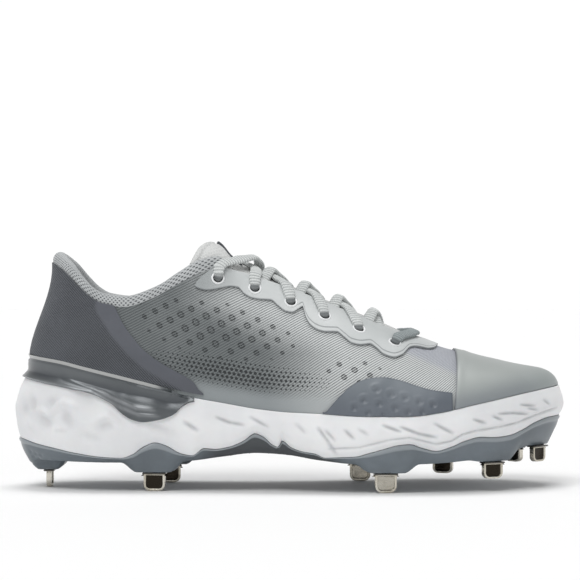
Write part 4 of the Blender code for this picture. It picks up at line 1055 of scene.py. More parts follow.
def side_overlay(name, side):
    lines = np.arange(11.06, 16.75, 0.08)
    if side > 0:
        lines = LINES - lines
    lines = np.sort(lines)
    foot = rim_share(lines, 0.0006)
    head = share_at(lines, SIDE_FILM_EDGE.at(LENGTH * 1000 * place_of(lines), "z") / 1000)
    head = np.clip(head, foot + 0.01, 1)
    look = film_look(name.title(), (84, 91, 100), (112, 119, 125), 0.001, 0.022)
    side_name = "lateral" if side < 0 else "medial"
    return overlay(name, lines, foot[:, None], head[:, None], look, "film", [f"side_overlay_{side_name}"],
                   (True, True, False, True), rows=60, dimples=dimple)


STAY_LOW = Table(
    "x z",
    [
        (98.5, 108.6), (101, 107.4), (105, 106.6), (109, 107.0), (113, 107.8), (117.5, 108.5), (121.5, 108.0),
        (125, 104.5), (129, 102.4), (133.5, 101.6), (139, 101.2), (143, 98.0), (147, 95.2), (150.5, 94.6),
        (153.8, 96.4), (156, 97.6), (157.6, 92.2), (160, 88.2), (164, 85.4), (168, 84.4), (174, 84.2),
        (178, 81.4),
        (182, 78.4), (187, 77.4), (191.6, 77.8), (195.4, 75.4), (199, 72.4), (204.6, 70.8), (209, 72.2),
        (211.5, 74.4),
        (213.5, 75.9), (216, 76.2), (220, 75.6), (224, 74.8), (227, 75.0), (229.5, 75.9), (231, 76.9),
    ],
)


def eyestay():
    pieces = []
    for side in (-1, 1):
        lines = line_at(np.linspace(98.6, 231, 190) / 300, side)
        if side > 0:
            lines = lines[::-1]
        x_mm = LENGTH * 1000 * place_of(lines)
        low = share_at(lines, STAY_LOW.at(x_mm, "z") / 1000)
        low = np.minimum(low, 0.96)
        nose = np.clip((x_mm - 98.5) / 14, 0, 1)
        high = low + (1 - low) * np.sqrt(1 - (1 - nose) ** 2)
        high = np.minimum(high, 0.998)
        high = np.where(x_mm > 222.6, 1.0, high)
        t = np.linspace(0, 1, 34)[None, :]
        shares = low[:, None] + (high - low)[:, None] * t
        points = wall(lines[:, None], shares)
        normals = wall_normal(lines[:, None], np.minimum(shares, 0.985))
        points = creased(points, normals, UPPER_CREASES) + normals * 0.0013
        rise = np.maximum(heights_above_rim(points, lines[:, None]), 0)
        marks = {"above": rise, "edge": edge_mark(points, (False, False, True, False))}
        marks["double"] = np.clip((points[..., 0] * 1000 + 150 - 152) / 3, 0, 1)
        pieces.append(grid_piece(f"stay_{side}", points, np.stack([points[..., 0], rise], -1), marks))
    only(pieces[0])
    pieces[1].select_set(True)
    bpy.ops.object.join()
    piece = bpy.context.object
    piece.name = "eyestay_film"
    merged(piece, 1.2e-5)
    turned_out(piece)
    solidify(piece, FILM_THICKNESS, -1)
    bevel(piece, 0.0004, 2, 60)
    cut_eyelets(piece, EYELET_BORE + 0.0006)
    smooth(piece, 40)
    return worn(piece, trim_look(), "trim", "eyestay")


def eyelet_look():
    e = Look("Eyelet", Coat_Weight=0.2, Coat_Roughness=0.25)
    grain = e.group(GRAIN, Vector=e.place(), Fine=1600.0, Broad=120.0)
    shade = e.mix(e.fade(grain["Patches"], 0.3, 0.7), grey((214, 216, 217)), grey((236, 237, 238)))
    return e.done(shade, e.fade(grain["Grain"], 0.3, 0.7, 0.3, 0.42), e.bump(grain["Grain"], 0.00003, 0.4))


def eyelets(look):
    """A smooth rolled rim in each hole: one ring, modelled once and copied."""
    bpy.ops.object.select_all(action="DESELECT")
    bpy.ops.mesh.primitive_torus_add(major_segments=36, minor_segments=12, major_radius=EYELET_BORE + 0.0005,
                                     minor_radius=0.00055)
    ring = bpy.context.object
    bpy.ops.object.mode_set(mode="EDIT")
    bpy.ops.mesh.select_all(action="SELECT")
    bpy.ops.transform.resize(value=(1, 1, 1.25))
    bpy.ops.object.mode_set(mode="OBJECT")
    for side, side_name in ((-1, "lateral"), (1, "medial")):
        for number, row in enumerate(EYELETS):
            centre, axis = eyelet_seat(side, row)
            turn = Vector((0, 0, 1)).rotation_difference(Vector(axis)).to_matrix().to_4x4()
            turn.translation = Vector(centre) + Vector(axis) * 0.0011
            mesh = ring.data.copy()
            mesh.transform(turn)
            copy = bpy.data.objects.new(f"eyelet_rim_{side_name}_{number + 1}", mesh)
            bpy.context.scene.collection.objects.link(copy)
            smooth(copy)
            worn(copy, look, "trim", f"eyelet_{side_name}_{number + 1}")
    bpy.data.objects.remove(ring, do_unlink=True)


# The collar, tongue and insole


def collar():
    """The padded rim round the ankle: a full roll over the edge and a pad down the inside."""
    lines = np.arange(20.7, LINES - 20.7 + 0.01, 0.25)
    place = place_of(lines)
    full = np.clip((0.352 - place) / 0.07, 0.0, 1.0)
    full = 0.4 + 0.6 * full * full * (3 - 2 * full)
    top = top_point(lines)
    away = wall_normal(lines, np.full_like(lines, 1.0))
    away[..., 2] = 0
    away /= np.linalg.norm(away, axis=-1, keepdims=True)
    up = np.zeros_like(away)
    up[..., 2] = 1
    inner = UPPER_WALL + 0.0005
    flap = np.interp(place, (0.27, 0.33, 0.372, 0.388), (1.0, 1.35, 1.35, 0.6))
    pad, roll = COLLAR_PAD * full, COLLAR_ROLL * np.where(place > 0.27, flap, full)
    ring = []
    across = (inner + pad) / 2
    for angle in np.linspace(-0.12, 1.0, 15):
        out = np.cos(np.pi * angle)
        lift = np.sin(np.pi * angle)
        middle = top - away * (across - 0.0003)[:, None] + up * GAP
        ring.append(middle + away * (across * out)[:, None] + up * (roll * lift)[:, None])
    for depth, thick in ((0.12, 1.03), (0.25, 1.05), (0.45, 1.0), (0.65, 0.82), (0.85, 0.5), (1.0, 0.15),
                         (1.0, 0.0), (0.7, 0.0), (0.4, 0.0), (0.15, 0.0)):
        share = share_at(lines, top[..., 2] - COLLAR_DEPTH * depth)
        ring.append(wall(lines, share) - wall_normal(lines, share) * (inner + pad * thick)[:, None])
    ring.append(top - away * inner - up * 2 * GAP)
    ring.append(top - away * (inner * 0.55) + up * GAP * 1.2)
    grid = np.stack(ring, 1)
    count = grid.shape[1]
    x = np.repeat((lines * 0.0062)[:, None], count, 1)
    v = travelled(grid, 1)
    k = np.arange(count)
    open_zone = np.where(k < 7, np.clip((7 - k) / 2.0, 0, 1), np.where(k > 15, 0.6, 0.15))
    marks = {"open": np.repeat(open_zone[None, :], len(lines), 0)}
    closed = np.concatenate([grid, grid[:, :1]], 1)
    v = np.concatenate([v, v[:, -1:] + 0.001], 1)
    x = np.concatenate([x, x[:, :1]], 1)
    marks["open"] = np.concatenate([marks["open"], marks["open"][:, :1]], 1)
    piece = grid_piece("collar_padding", closed, np.stack([x, v], -1), marks)
    merged(piece, 1e-6)
    capped(piece, 60)
    smooth(piece, 50)
    worn(piece, padding_look("Collar_mesh", (180, 183, 184), (84, 87, 90), 0.9), "padding", "collar_lining")
    return piece


TONGUE = Table(
    "along height tuck",
    [
        (0.400, 1.022, 0.20), (0.433, 0.974, 0.20), (0.500, 0.918, 0.20), (0.560, 0.858, 0.20),
        (0.620, 0.796, 0.20), (0.680, 0.735, 0.18), (0.715, 0.690, 0.14),
        (0.735, 0.652, 0.12), (0.757, 0.628, 0.10),
    ],
)
TONGUE_TOP = [
    (0.384, 1.052, 0.165, 0.155, 0.000), (0.370, 1.096, 0.170, 0.135, 0.016),
    (0.353, 1.124, 0.172, 0.105, 0.034),
]


def tongue_sections():
    sections = []
    for place in TONGUE.rows[::-1, 0]:
        tuck = TONGUE.at(place, "tuck")
        centre = BALL_WIDTH * TOP_EDGE.at(place, "centre")
        middle = np.array([LENGTH * (place - 0.5), centre, INSTEP_HEIGHT * TONGUE.at(place, "height")])
        halves = []
        for side in (-1, 1):
            line = line_at(place, side)
            half = []
            for share in (1 - tuck, 1 - tuck / 2, 1.0):
                slope = wall(line, share) - wall(line, share - 0.04)
                away = np.array([0.0, side * slope[2], -side * slope[1]])
                half.append(wall(line, share) - away / np.linalg.norm(away) * (UPPER_WALL + TONGUE_CLEARANCE))
            shoulder = 0.5 * (half[-1] + middle)
            shoulder[2] += 0.2 * (middle[2] - half[-1][2])
            halves.append(half + [shoulder])
        sections.append(halves[0] + [middle] + halves[1][::-1])
    for along, height, half, drop, sweep in TONGUE_TOP:
        made = []
        for across in np.linspace(-1, 1, 9):
            y = BALL_WIDTH * half * math.sin(across * 1.25) / math.sin(1.25)
            z = INSTEP_HEIGHT * (height - drop * abs(across) ** 4)
            made.append(np.array([LENGTH * (along - 0.5 - sweep * across**2), y, z]))
        sections.append(made)
    return np.array(sections)


def refined(grid, times):
    """A grid with more rows and columns, on smooth curves through the first ones."""
    for axis in (0, 1):
        grid = np.moveaxis(grid, axis, 0)
        count = len(grid)
        places = np.linspace(0, count - 1, (count - 1) * times + 1)
        i = np.clip(np.floor(places).astype(int), 0, count - 2)
        t = (places - i)[:, None, None]
        slopes = np.gradient(grid, axis=0)
        a, b, ma, mb = grid[i], grid[i + 1], slopes[i], slopes[i + 1]
        grid = (a * (2 * t**3 - 3 * t**2 + 1) + b * (3 * t**2 - 2 * t**3) + ma * (t**3 - 2 * t**2 + t)
                + mb * (t**3 - t**2))
        grid = np.moveaxis(grid, 0, axis)
    return grid


def close_set(grid, counts):
    """The same sheet with its rows and columns set closer and closer towards its edges."""
    for axis, count in enumerate(counts):
        grid = np.moveaxis(grid, axis, 0)
        places = (0.5 + 0.5 * np.sin(np.pi / 2 * np.linspace(-1, 1, count))) * (len(grid) - 1)
        i = np.clip(np.floor(places).astype(int), 0, len(grid) - 2)
        t = (places - i)[:, None, None]
        grid = np.moveaxis(grid[i] * (1 - t) + grid[i + 1] * t, 0, axis)
    return grid


def tongue():
    """A padded sheet with a rounded rim, a seam line round its free end and a soft crown."""
    grid = close_set(refined(tongue_sections(), 6), (90, 61))
    normals = grid_normals(grid)
    if normals[45, 30, 2] < 0:
        normals = -normals
    away = edge_mark(grid)
    round_off = np.sqrt(1 - (1 - np.clip(away / 0.0026, 0, 1)) ** 2)
    along, over = travelled(grid, 0), travelled(grid, 1)
    free = np.clip((along / along[-1:] - 0.66) / 0.08, 0, 1)
    crown = 0.0016 * free * np.clip(away / 0.009, 0, 1) ** 0.6
    seam = 0.0007 * free * np.exp(-(((away - 0.0036) / 0.0009) ** 2))
    half = TONGUE_THICKNESS / 2
    outer = grid + normals * (crown - seam - half * (1 - round_off))[..., None]
    inner = grid - normals * (half * (1 + round_off))[..., None]
    loop = np.concatenate([outer.transpose(1, 0, 2), inner.transpose(1, 0, 2)[::-1]])
    flow = np.stack([along, over], -1).transpose(1, 0, 2)
    flow = np.concatenate([flow, flow[::-1]])
    open_zone = (1 - 0.8 * free).T
    marks = {"open": np.concatenate([open_zone, open_zone[::-1]])}
    piece = grid_piece("tongue_padding", loop, flow, marks, wrap=True)
    merged(piece, 2e-6)
    smooth(piece, 60)
    worn(piece, padding_look("Tongue_mesh", (212, 213, 212), (156, 160, 161), 1.1), "padding", "tongue")
    return piece


def webbing():
    """The short woven strip on the tongue's front, from the free end down under the top lace."""
    grid = refined(tongue_sections(), 6)
    normals = grid_normals(grid)
    if normals[30, 24, 2] < 0:
        normals = -normals
    middle = (grid.shape[1] - 1) // 2
    strip = grid[-21:-4, middle - 5 : middle + 6]
    lift = normals[-21:-4, middle - 5 : middle + 6]
    strip = strip + lift * 0.0016
    along, over = travelled(strip, 0), travelled(strip, 1)
    marks = {"front": np.full(along.shape, 0.05)}
    piece = grid_piece("tongue_webbing_strip", strip, np.stack([along, over], -1), marks)
    merged(piece, 1e-7)
    solidify(piece, WEBBING_THICKNESS, 0)
    bevel(piece, 0.0004, 2, 60)
    apply_all(piece)
    smooth(piece, 50)
    return worn(piece, counter_look("Strip"), "counter", "tongue_webbing")


def insole():
    """The sock liner: the CAD sheet's form, with a soft edge and a dished heel."""
    lines = np.arange(0, LINES, 0.5)
    inset = UPPER_WALL + GAP
    low = wall(lines, -1.0) - outward(lines) * inset
    place = place_of(lines)
    rise = 0.004 / (SOLE_HEIGHT * (SOLE.at(place, "bite") - SOLE.at(place, "bed")))
    high = wall(lines, -1 + rise) - outward(lines) * inset
    rings = [low, high * 0.5 + low * 0.5, high]

    def dish(points, t):
        return points[..., 2] - 0.0012 * np.sin(np.pi * t) ** 0.5

    piece = rings_piece("sock_liner", rings, 20, None, dish)
    smooth(piece, 60)
    return worn(piece, insole_look(), "padding", "insole")


# The sole


def rings_piece(name, rings, strips, low_cap=None, high_cap=None, marks=None):
    """A closed form from rings stacked from the bottom to the top, with a cap across each end."""
    rings = [np.asarray(ring) for ring in rings]
    count = len(rings[0])
    half = count // 2
    points = [np.concatenate(rings)]
    faces = []
    for level in range(len(rings) - 1):
        for i in range(count):
            j = (i + 1) % count
            low, high = level * count, (level + 1) * count
            faces.append([low + i, low + j, high + j, high + i])
    total = count * len(rings)
    for level, shape in ((0, low_cap), (len(rings) - 1, high_cap)):
        ring = rings[level]
        first = level * count
        rows = [[first]]
        for i in range(1, half):
            t = np.linspace(0, 1, strips + 1)[1:-1]
            inner = ring[i] + (ring[count - i] - ring[i]) * t[:, None]
            if shape is not None:
                inner[:, 2] = shape(inner, t)
            rows.append([first + i] + list(range(total, total + strips - 1)) + [first + count - i])
            points.append(inner)
            total += strips - 1
        rows.append([first + half])
        for row, beside in zip(rows, rows[1:]):
            if len(row) == 1:
                faces += [[row[0], beside[k], beside[k + 1]] for k in range(strips)]
            elif len(beside) == 1:
                faces += [[beside[0], row[k + 1], row[k]] for k in range(strips)]
            else:
                faces += [[row[k], beside[k], beside[k + 1], row[k + 1]] for k in range(strips)]
    all_points = np.concatenate(points)
    made = {}
    for key, values in (marks or {}).items():
        made[key] = np.concatenate([np.concatenate(values), np.zeros(len(all_points) - count * len(rings))])
    piece = mesh_piece(name, all_points, faces, None, made)
    merged(piece, 1e-7)
    return piece


# The creases' depth over the table's, and where the heel's wider and deeper ones end, in millimetres
FOAM_CUT = 1.3
FOAM_HEEL_TO = 88
FOAM_CREASES = [
    # soft facets round the heel
    (15, 44, 22, 40.5, 1.6, 0.9), (22, 40.5, 28, 48, 1.7, 0.9), (28, 48, 36, 45, 1.8, 0.7),
    (24, 33.5, 30, 33.5, 1.5, 0.7),
    (16, 39, 22, 35, 2.6, -0.8), (30, 42, 33, 36, 2.6, -0.8), (21, 46, 25, 49, 2.6, -0.6),
    (11, 50, 13, 43, 2.4, -0.7),
    (7, 46, 8, 41, 2.2, -0.6), (9, 37, 12, 33, 2.0, 0.6), (36, 52, 46, 47, 3.2, -0.5),
    (47, 38, 53, 41, 1.8, 0.7),
    (53, 41, 59, 36, 1.8, 0.6), (49, 34, 56, 36, 2.4, -0.7), (40, 30, 48, 28, 2.2, -0.4),
    (76, 36, 86, 32, 2.4, -0.5),
    # midfoot and forefoot gouges
    (94, 37, 100.4, 33, 1.5, -0.8), (111, 39.6, 117.5, 37, 1.2, -0.8), (117.5, 37, 125, 35.6, 1.2, -0.7),
    (129, 39.8, 137.5, 35, 1.2, -0.7), (153, 36.4, 157.5, 32, 1.3, -0.5),
    (164.6, 34.4, 169, 28.2, 1.2, -0.8),
    (169, 28.2, 173.6, 20.8, 1.2, -0.7), (168.4, 33.4, 173, 28.2, 1.1, -0.7),
    (178.6, 33.4, 182.8, 29.2, 1.1, -0.8),
    (186, 34, 190, 31.4, 1.2, -0.5), (198.6, 36.2, 207, 33, 1.1, -0.9), (207.6, 35.4, 217, 31.8, 1.1, -0.9),
    (217, 31.8, 226.2, 29.8, 1.1, -0.8), (225.6, 37, 234.8, 32, 1.1, -0.9), (246.4, 39, 252.4, 37, 1.1, -0.8),
    (257, 40.4, 261.6, 38.4, 1.0, -0.8), (260, 41.6, 268, 41.8, 1.0, -0.7), (268, 41.8, 276, 41, 1.0, -0.8),
    (272.6, 46, 280.4, 45.2, 1.0, -0.8), (276.6, 44, 282, 43, 1.0, -0.7), (286, 48, 289.6, 45.4, 1.0, -0.6),
    (182, 44, 196, 44, 2.0, 0.25), (60, 50, 90, 44, 4.0, 0.35),
    # the line above the plate at the forefoot
    (170, 23.4, 186, 24.4, 0.8, -0.5), (186, 24.4, 202, 28.6, 0.8, -0.5), (202, 28.6, 212, 29.6, 0.8, -0.5),
    (212, 29.6, 226, 26.2, 0.8, -0.5), (226, 26.2, 234, 27.6, 0.8, -0.6), (234, 27.6, 240, 31, 0.8, -0.6),
    (240, 31, 247, 32.8, 0.8, -0.6), (247, 32.8, 261, 34.8, 0.8, -0.6), (261, 34.8, 271, 36.8, 0.8, -0.6),
    (271, 36.8, 281, 40.2, 0.8, -0.6), (281, 40.2, 294, 43.4, 0.8, -0.6),
]


def plate_top(points):
    """Height of the plate's upper face: its side edge outside, low along the middle."""
    x, y = points[..., 0], points[..., 1]
    place = x / LENGTH + 0.5
    half = SOLE.at(place, "half") * round_ends(np.clip(place, 0, 1))
    inside = BALL_WIDTH * half - np.abs(y - BALL_WIDTH * SOLE.at(place, "centre"))
    inside = np.maximum(0, np.minimum(inside, np.minimum(LENGTH * place, LENGTH * (1 - place))))
    middle = SOLE_HEIGHT * SOLE.at(place, "under") + 0.0042
    blend = np.clip((inside - 0.006) / 0.018, 0, 1)
    blend = blend * blend * (3 - 2 * blend)
    edge = edge_height(x)
    return np.maximum(edge + (middle - edge) * blend, middle)


def midsole():
    lines = np.arange(0, LINES, 0.08)
    depths = np.concatenate([[1.0, 0.995], np.linspace(0.97, 0.02, 46), [0.0]])
    grid = np.stack([side_point(lines, depth) for depth in depths], 1)
    normals = -grid_normals(grid)
    out = outward(lines)[:, None, :]
    normals = normals * np.sign((normals * out).sum(-1, keepdims=True))
    fade = np.clip(np.minimum(depths, 1 - depths) * 30, 0, 1)[None, :, None]
    cuts = []
    for *ends, width, depth in FOAM_CREASES:
        heel = ends[0] < FOAM_HEEL_TO
        cuts.append((*ends, width * (1 if heel else 0.75), depth * FOAM_CUT * (1.3 if heel else 1)))
    moved = (creased(grid, normals, cuts) - grid) * fade
    # Painted shade for the gouges: how far each point is pushed in, weaker at the heel.
    gouge_shade = np.clip(-(moved * normals).sum(-1) / 0.0009, 0, 1)
    gouge_shade = gouge_shade * np.clip((grid[..., 0] + 0.066) / 0.006, 0.4, 1)
    grid = grid + moved
    rim_height = SOLE_HEIGHT * SOLE.at(place_of(lines), "bite") + BITE_RIM
    rings = [grid[:, k] for k in range(len(depths))]
    marks = [gouge_shade[:, k] for k in range(len(depths))]
    rim = wall(lines, 0.0) + outward(lines) * GAP
    for blend, lift in ((0.35, 0.00035), (0.7, 0.0003), (1.0, 0.0)):
        ring = rings[len(depths) - 1] * (1 - blend) + rim * blend
        ring[:, 2] = rim_height + lift
        rings.append(ring)
        marks.append(np.zeros(len(lines)))
    for share in (-0.1, -0.45, -1.0):
        ring = wall(lines, share) + outward(lines) * GAP
        if share == -1.0:
            ring[:, 2] -= GAP
        rings.append(ring)
        marks.append(np.zeros(len(lines)))
    piece = rings_piece("midsole_foam", rings, 16, lambda p, t: plate_top(p) + GAP, None, {"gouge_shade": marks})
    smooth(piece, 50)
    return worn(piece, foam_look(), "foam", "midsole")


# The studs: name, place along and across, tip height, length and turn, in the construction model's shares
STUDS = [
    ("stud_heel_rear", 0.062, 0.000, 0.000, 0.0095, 90),
    ("stud_heel_lateral", 0.258, -0.262, 0.000, 0.0098, -8),
    ("stud_heel_medial", 0.276, 0.235, 0.000, 0.0098, 8),
    ("stud_ball_lateral", 0.667, -0.375, 0.000, 0.0104, 8),
    ("stud_ball_medial", 0.630, 0.320, 0.000, 0.0104, -8),
    ("stud_fore_lateral", 0.857, -0.300, 0.100, 0.0090, 25),
    ("stud_fore_medial", 0.787, 0.400, 0.052, 0.0088, -20),
    ("stud_toe_lateral", 0.945, -0.110, 0.210, 0.0088, 50),
    ("stud_toe_medial", 0.917, 0.300, 0.160, 0.0088, -50),
]


def stud_place(row):
    return np.array([LENGTH * (row[1] - 0.5), BALL_WIDTH * row[2], SOLE_HEIGHT * row[3]])


def pod_drop(points):
    """How far the plate's underside comes down to carry the studs."""
    x, y = points[..., 0], points[..., 1]
    place = np.clip(x / LENGTH + 0.5, 0, 1)
    under = SOLE_HEIGHT * SOLE.at(place, "under")
    lowest = under.copy()
    for row in STUDS:
        centre = stud_place(row)
        turn = math.radians(row[5])
        dx, dy = x - centre[0], y - centre[1]
        a = dx * math.cos(turn) + dy * math.sin(turn)
        b = -dx * math.sin(turn) + dy * math.cos(turn)
        outer = abs(row[2]) > 0.2
        reach = np.where(np.sign(centre[1]) * dy > 0, 0.02, 0.0075) if outer else 0.0075
        away = np.hypot(np.maximum(np.abs(a) - 0.0085, 0), np.maximum(np.abs(b) - reach + 0.003, 0))
        blend = np.clip(1 - away / 0.0085, 0, 1)
        blend = blend * blend * (3 - 2 * blend)
        foot = centre[2] + row[4] + GAP
        lowest = np.minimum(lowest, under + (foot - under) * blend)
    return lowest


# Ribs under the plate: place along and depth
RIBS_UNDER = [(38, 0.8)] + [(x, 0.9) for x in range(118, 169, 10)] + [(226, 0.6), (236, 0.6)]
PLATE_MARKS = [
    # dimples and short ribs of the rear pod, folds of the pods at the ball and toe
    (9.5, 20.5, 10.5, 20, 0.8, -0.7), (12.5, 19.4, 13.5, 19, 0.8, -0.7), (15.5, 18.6, 16.5, 18.2, 0.8, -0.7),
    (11, 17.6, 12, 17.2, 0.8, -0.7), (14, 16.8, 15, 16.4, 0.8, -0.7), (17.5, 15.6, 21, 14.4, 0.9, 0.6),
    (22, 15.8, 26, 14.2, 0.9, 0.6), (27, 15.6, 31, 13.8, 0.9, 0.6), (20, 12.5, 34, 11.5, 0.9, 0.5),
    (196, 12.5, 203, 9.8, 1.5, -0.7), (203, 9.8, 209, 12.4, 1.5, 0.6), (189, 17, 200, 14, 1.8, -0.5),
    (66, 21, 78, 22.4, 2.2, 0.5), (78, 22.4, 90, 19, 2.2, 0.5), (240, 22, 256, 24, 2.0, -0.5),
    (262, 26, 276, 30, 2.0, -0.5),
]


def plate():
    lines = np.arange(0, LINES, 0.125)
    place = place_of(lines)
    inset = EDGE_INSET * 0.24
    top = ring_point(lines, np.full_like(lines, inset), 0.0)
    top[:, 2] = edge_height(top[:, 0])
    low = ring_point(lines, np.full_like(lines, inset + EDGE_TUCK), 0.0)
    low[:, 2] = pod_drop(low)
    low[:, 2] = np.minimum(low[:, 2], top[:, 2] - 0.0012)
    rings = []
    for t in np.linspace(0, 1, 20):
        bulge = math.sin(math.pi * t) * 0.0009
        lip = 0.0006 * max(0.0, math.sin(math.pi * (t - 0.78) / 0.22)) if t > 0.78 else 0.0
        rings.append(low + (top - low) * t + outward(lines) * (bulge + lip))

    def under(points, t):
        height = pod_drop(points)
        edge = np.minimum(t, 1 - t)
        arch = 0.0012 * np.sin(np.pi * t)
        x_mm = points[..., 0] * 1000 + 150
        ribs = np.zeros_like(height)
        for x, depth in RIBS_UNDER:
            ribs -= 0.001 * depth * np.exp(-(((x_mm - x) / 1.4) ** 2)) * np.clip(edge * 12, 0, 1)
        return height + arch * (height > 0.0128) + ribs * (height > 0.0128)

    side = np.stack(rings, 1)
    side = creased(side, np.repeat(outward(lines)[:, None, :], side.shape[1], 1), PLATE_MARKS)
    rings = [side[:, k] for k in range(side.shape[1])]
    lip = [np.full(len(lines), 1.0 if step > 15 else 0.0) for step in range(len(rings))]
    piece = rings_piece("sole_plate", rings, 56, under, lambda p, t: plate_top(p), {"lip": lip})
    smooth(piece, 60)
    return worn(piece, plate_look(), "moulding", "outsole_plate")


CLIP_EDGE = Table(
    "along low",
    [
        (0.016, 0.867), (0.050, 0.845), (0.093, 0.815), (0.130, 0.773), (0.158, 0.735), (0.185, 0.673),
        (0.202, 0.608), (0.220, 0.561), (0.240, 0.542), (0.266, 0.557), (0.289, 0.589), (0.307, 0.643),
        (0.333, 0.700),
    ],
)
CLIP_RIDGES = [
    (30, 60, 44, 55, 1.0, 0.4), (44, 55, 58, 48.6, 1.0, 0.7), (58, 48.6, 68, 44.4, 1.0, 0.7),
    (68, 44.4, 78, 43.4, 1.0, 0.6),
    (44, 52.6, 60, 44.8, 0.9, 0.6), (60, 44.8, 70, 40.8, 0.9, 0.6), (70, 40.8, 80, 40.4, 0.9, 0.5),
    (4, 60, 44, 52.6, 1.0, 0.6), (82, 47, 94, 48, 3.0, -0.6), (30, 60, 60, 53.4, 2.2, -0.7),
    (60, 53.4, 86, 47.6, 2.2, -0.6),
    (4, 64.6, 30, 60, 2.2, -0.7),
]


def heel_clip():
    lines = np.arange(22, LINES - 22 + 0.01, 0.125)
    place = place_of(lines)
    top = SOLE_HEIGHT * SOLE.at(place, "bite") + BITE_RIM
    foot = SOLE_HEIGHT * CLIP_EDGE.at(place, "low")
    reach = (top - foot) / (top - edge_height(side_point(lines, 1.0)[..., 0]) - GAP)
    tail = np.minimum(lines - lines[0], lines[-1] - lines)
    reach = np.maximum(reach * (0.45 + 0.55 * np.clip(tail / 0.75, 0, 1)), 0.01)
    columns = [side_point(lines, reach * (1 - t)) for t in np.linspace(0, 1, 30)]
    lap = wall(lines, 0.0) + outward(lines) * 3 * GAP
    lap[:, 2] = top
    columns += [columns[-1] * 0.5 + lap * 0.5, lap]
    grid = np.stack(columns, 1)
    normals = grid_normals(grid)
    out = outward(lines)[:, None, :]
    normals = np.where((normals * out).sum(-1, keepdims=True) < -0.05, -normals, normals)
    normals[:, -2:] = normals[:, -2:] * np.sign(normals[:, -2:, 2:] + 1e-9)
    shaped = creased(grid, normals, CLIP_RIDGES)
    moved = ((shaped - grid) * normals).sum(-1)
    thin = np.concatenate([np.linspace(0.75, 0.4, 30), [0.35, 0.3]])
    grid = shaped + normals * (GAP + CLIP_THICKNESS * thin)[None, :, None]
    # Marks for painted light: a painted highlight along the top edge that fades out at both tails, painted
    # highlights on the ridges, painted shade in the troughs.
    no_edge_highlight = 0.002 * np.clip(1 - tail / 2, 0, 1)[:, None]
    marks = {"edge": edge_mark(grid, (False, False, False, True)) + no_edge_highlight}
    marks["ridge"], marks["trough_shade"] = np.clip(moved / 0.0007, 0, 1), np.clip(-moved / 0.0006, 0, 1)
    piece = grid_piece("heel_wing", grid, np.stack([grid[..., 0], grid[..., 2]], -1), marks)
    merged(piece, 1e-7)
    turned_out(piece)
    solidify(piece, CLIP_THICKNESS, -1)
    bevel(piece, 0.0005, 3, 55)
    apply_all(piece)
    smooth(piece, 40)
    return worn(piece, wing_look(), "wing", "heel_clip")


def pick(piece, kind, wanted):
    """Selects the edges or faces of a piece for which wanted() holds, and goes into edit mode."""
    only(piece)
    bpy.ops.object.mode_set(mode="EDIT")
    bpy.ops.mesh.select_mode(type=kind)
    bpy.ops.mesh.select_all(action="DESELECT")
    bpy.ops.object.mode_set(mode="OBJECT")
    mesh = piece.data
    for part in mesh.edges if kind == "EDGE" else mesh.polygons:
        part.select = wanted([mesh.vertices[v].co for v in part.vertices])
    bpy.ops.object.mode_set(mode="EDIT")


def block(name, size):
    bpy.ops.object.select_all(action="DESELECT")
    bpy.ops.mesh.primitive_cube_add(size=1)
    piece = bpy.context.object
    piece.name = name
    piece.scale = size
    bpy.ops.object.transform_apply(location=False, rotation=False, scale=True)
    return piece


BLADE = (0.0115, 0.0028, 0.0095)
BASE = (0.0126, 0.0058, 0.0010)


def stud_master():
    """A pressed blade with rounded lower corners and a recessed face, under a small base plate."""
    blade = block("stud_master", BLADE)
    pick(blade, "EDGE", lambda ends: all(v.z < 0 for v in ends) and abs(ends[0].x - ends[1].x) < 1e-6)
    bpy.ops.mesh.bevel(offset=0.0034, segments=7, affect="EDGES")
    bpy.ops.object.mode_set(mode="OBJECT")
    pick(blade, "EDGE", lambda ends: all(v.z > 0.004 for v in ends) and abs(ends[0].x - ends[1].x) < 1e-6)
    bpy.ops.mesh.bevel(offset=0.0006, segments=2, affect="EDGES")
    bpy.ops.object.mode_set(mode="OBJECT")
    pick(blade, "FACE", lambda corners: len(corners) > 6)
    bpy.ops.mesh.inset(thickness=0.0011, depth=0, use_individual=True)
    bpy.ops.mesh.inset(thickness=0.0003, depth=-0.0007, use_individual=True)
    bpy.ops.object.mode_set(mode="OBJECT")
    points = np.array([v.co[:] for v in blade.data.vertices])
    sunk = (np.abs(points[:, 1]) < BLADE[1] / 2 - 0.0003).astype(np.float32)
    blade.data.attributes.new("recess", "FLOAT", "POINT").data.foreach_set("value", sunk)
    bevel(blade, 0.0002, 2, 40)
    apply_all(blade)
    base = block("stud_base", BASE)
    bevel(base, 0.0004, 2, 30)
    apply_all(base)
    whole = np.ones(len(base.data.vertices), np.float32)
    base.data.attributes.new("base", "FLOAT", "POINT").data.foreach_set("value", whole)
    base.data.transform(Matrix.Translation((0, 0, BLADE[2] / 2 - 0.0001)))
    only(blade)
    base.select_set(True)
    bpy.ops.object.join()
    return blade


def studs(look):
    master = stud_master()
    for row in STUDS:
        mesh = master.data.copy()
        piece = bpy.data.objects.new(row[0] + "_blade", mesh)
        bpy.context.scene.collection.objects.link(piece)
        points = np.array([v.co[:] for v in mesh.vertices])
        points[:, 2] = (points[:, 2] / BLADE[2] + 0.5) * (row[4] - 0.0004)
        turn = math.radians(row[5])
        x = points[:, 0] * math.cos(turn) - points[:, 1] * math.sin(turn)
        y = points[:, 0] * math.sin(turn) + points[:, 1] * math.cos(turn)
        placed = np.stack([x, y, points[:, 2]], -1) + stud_place(row)
        mesh.vertices.foreach_set("co", placed.astype(np.float32).ravel())
        recess = mesh.attributes["recess"].data
        dark = 0.3 if 0.6 < row[1] < 0.7 or row[1] < 0.1 else 1.0
        for mark in recess:
            mark.value *= dark
        mesh.update()
        smooth(piece, 35)
        worn(piece, look, "steel", row[0])
    bpy.data.objects.remove(master, do_unlink=True)


# Laces


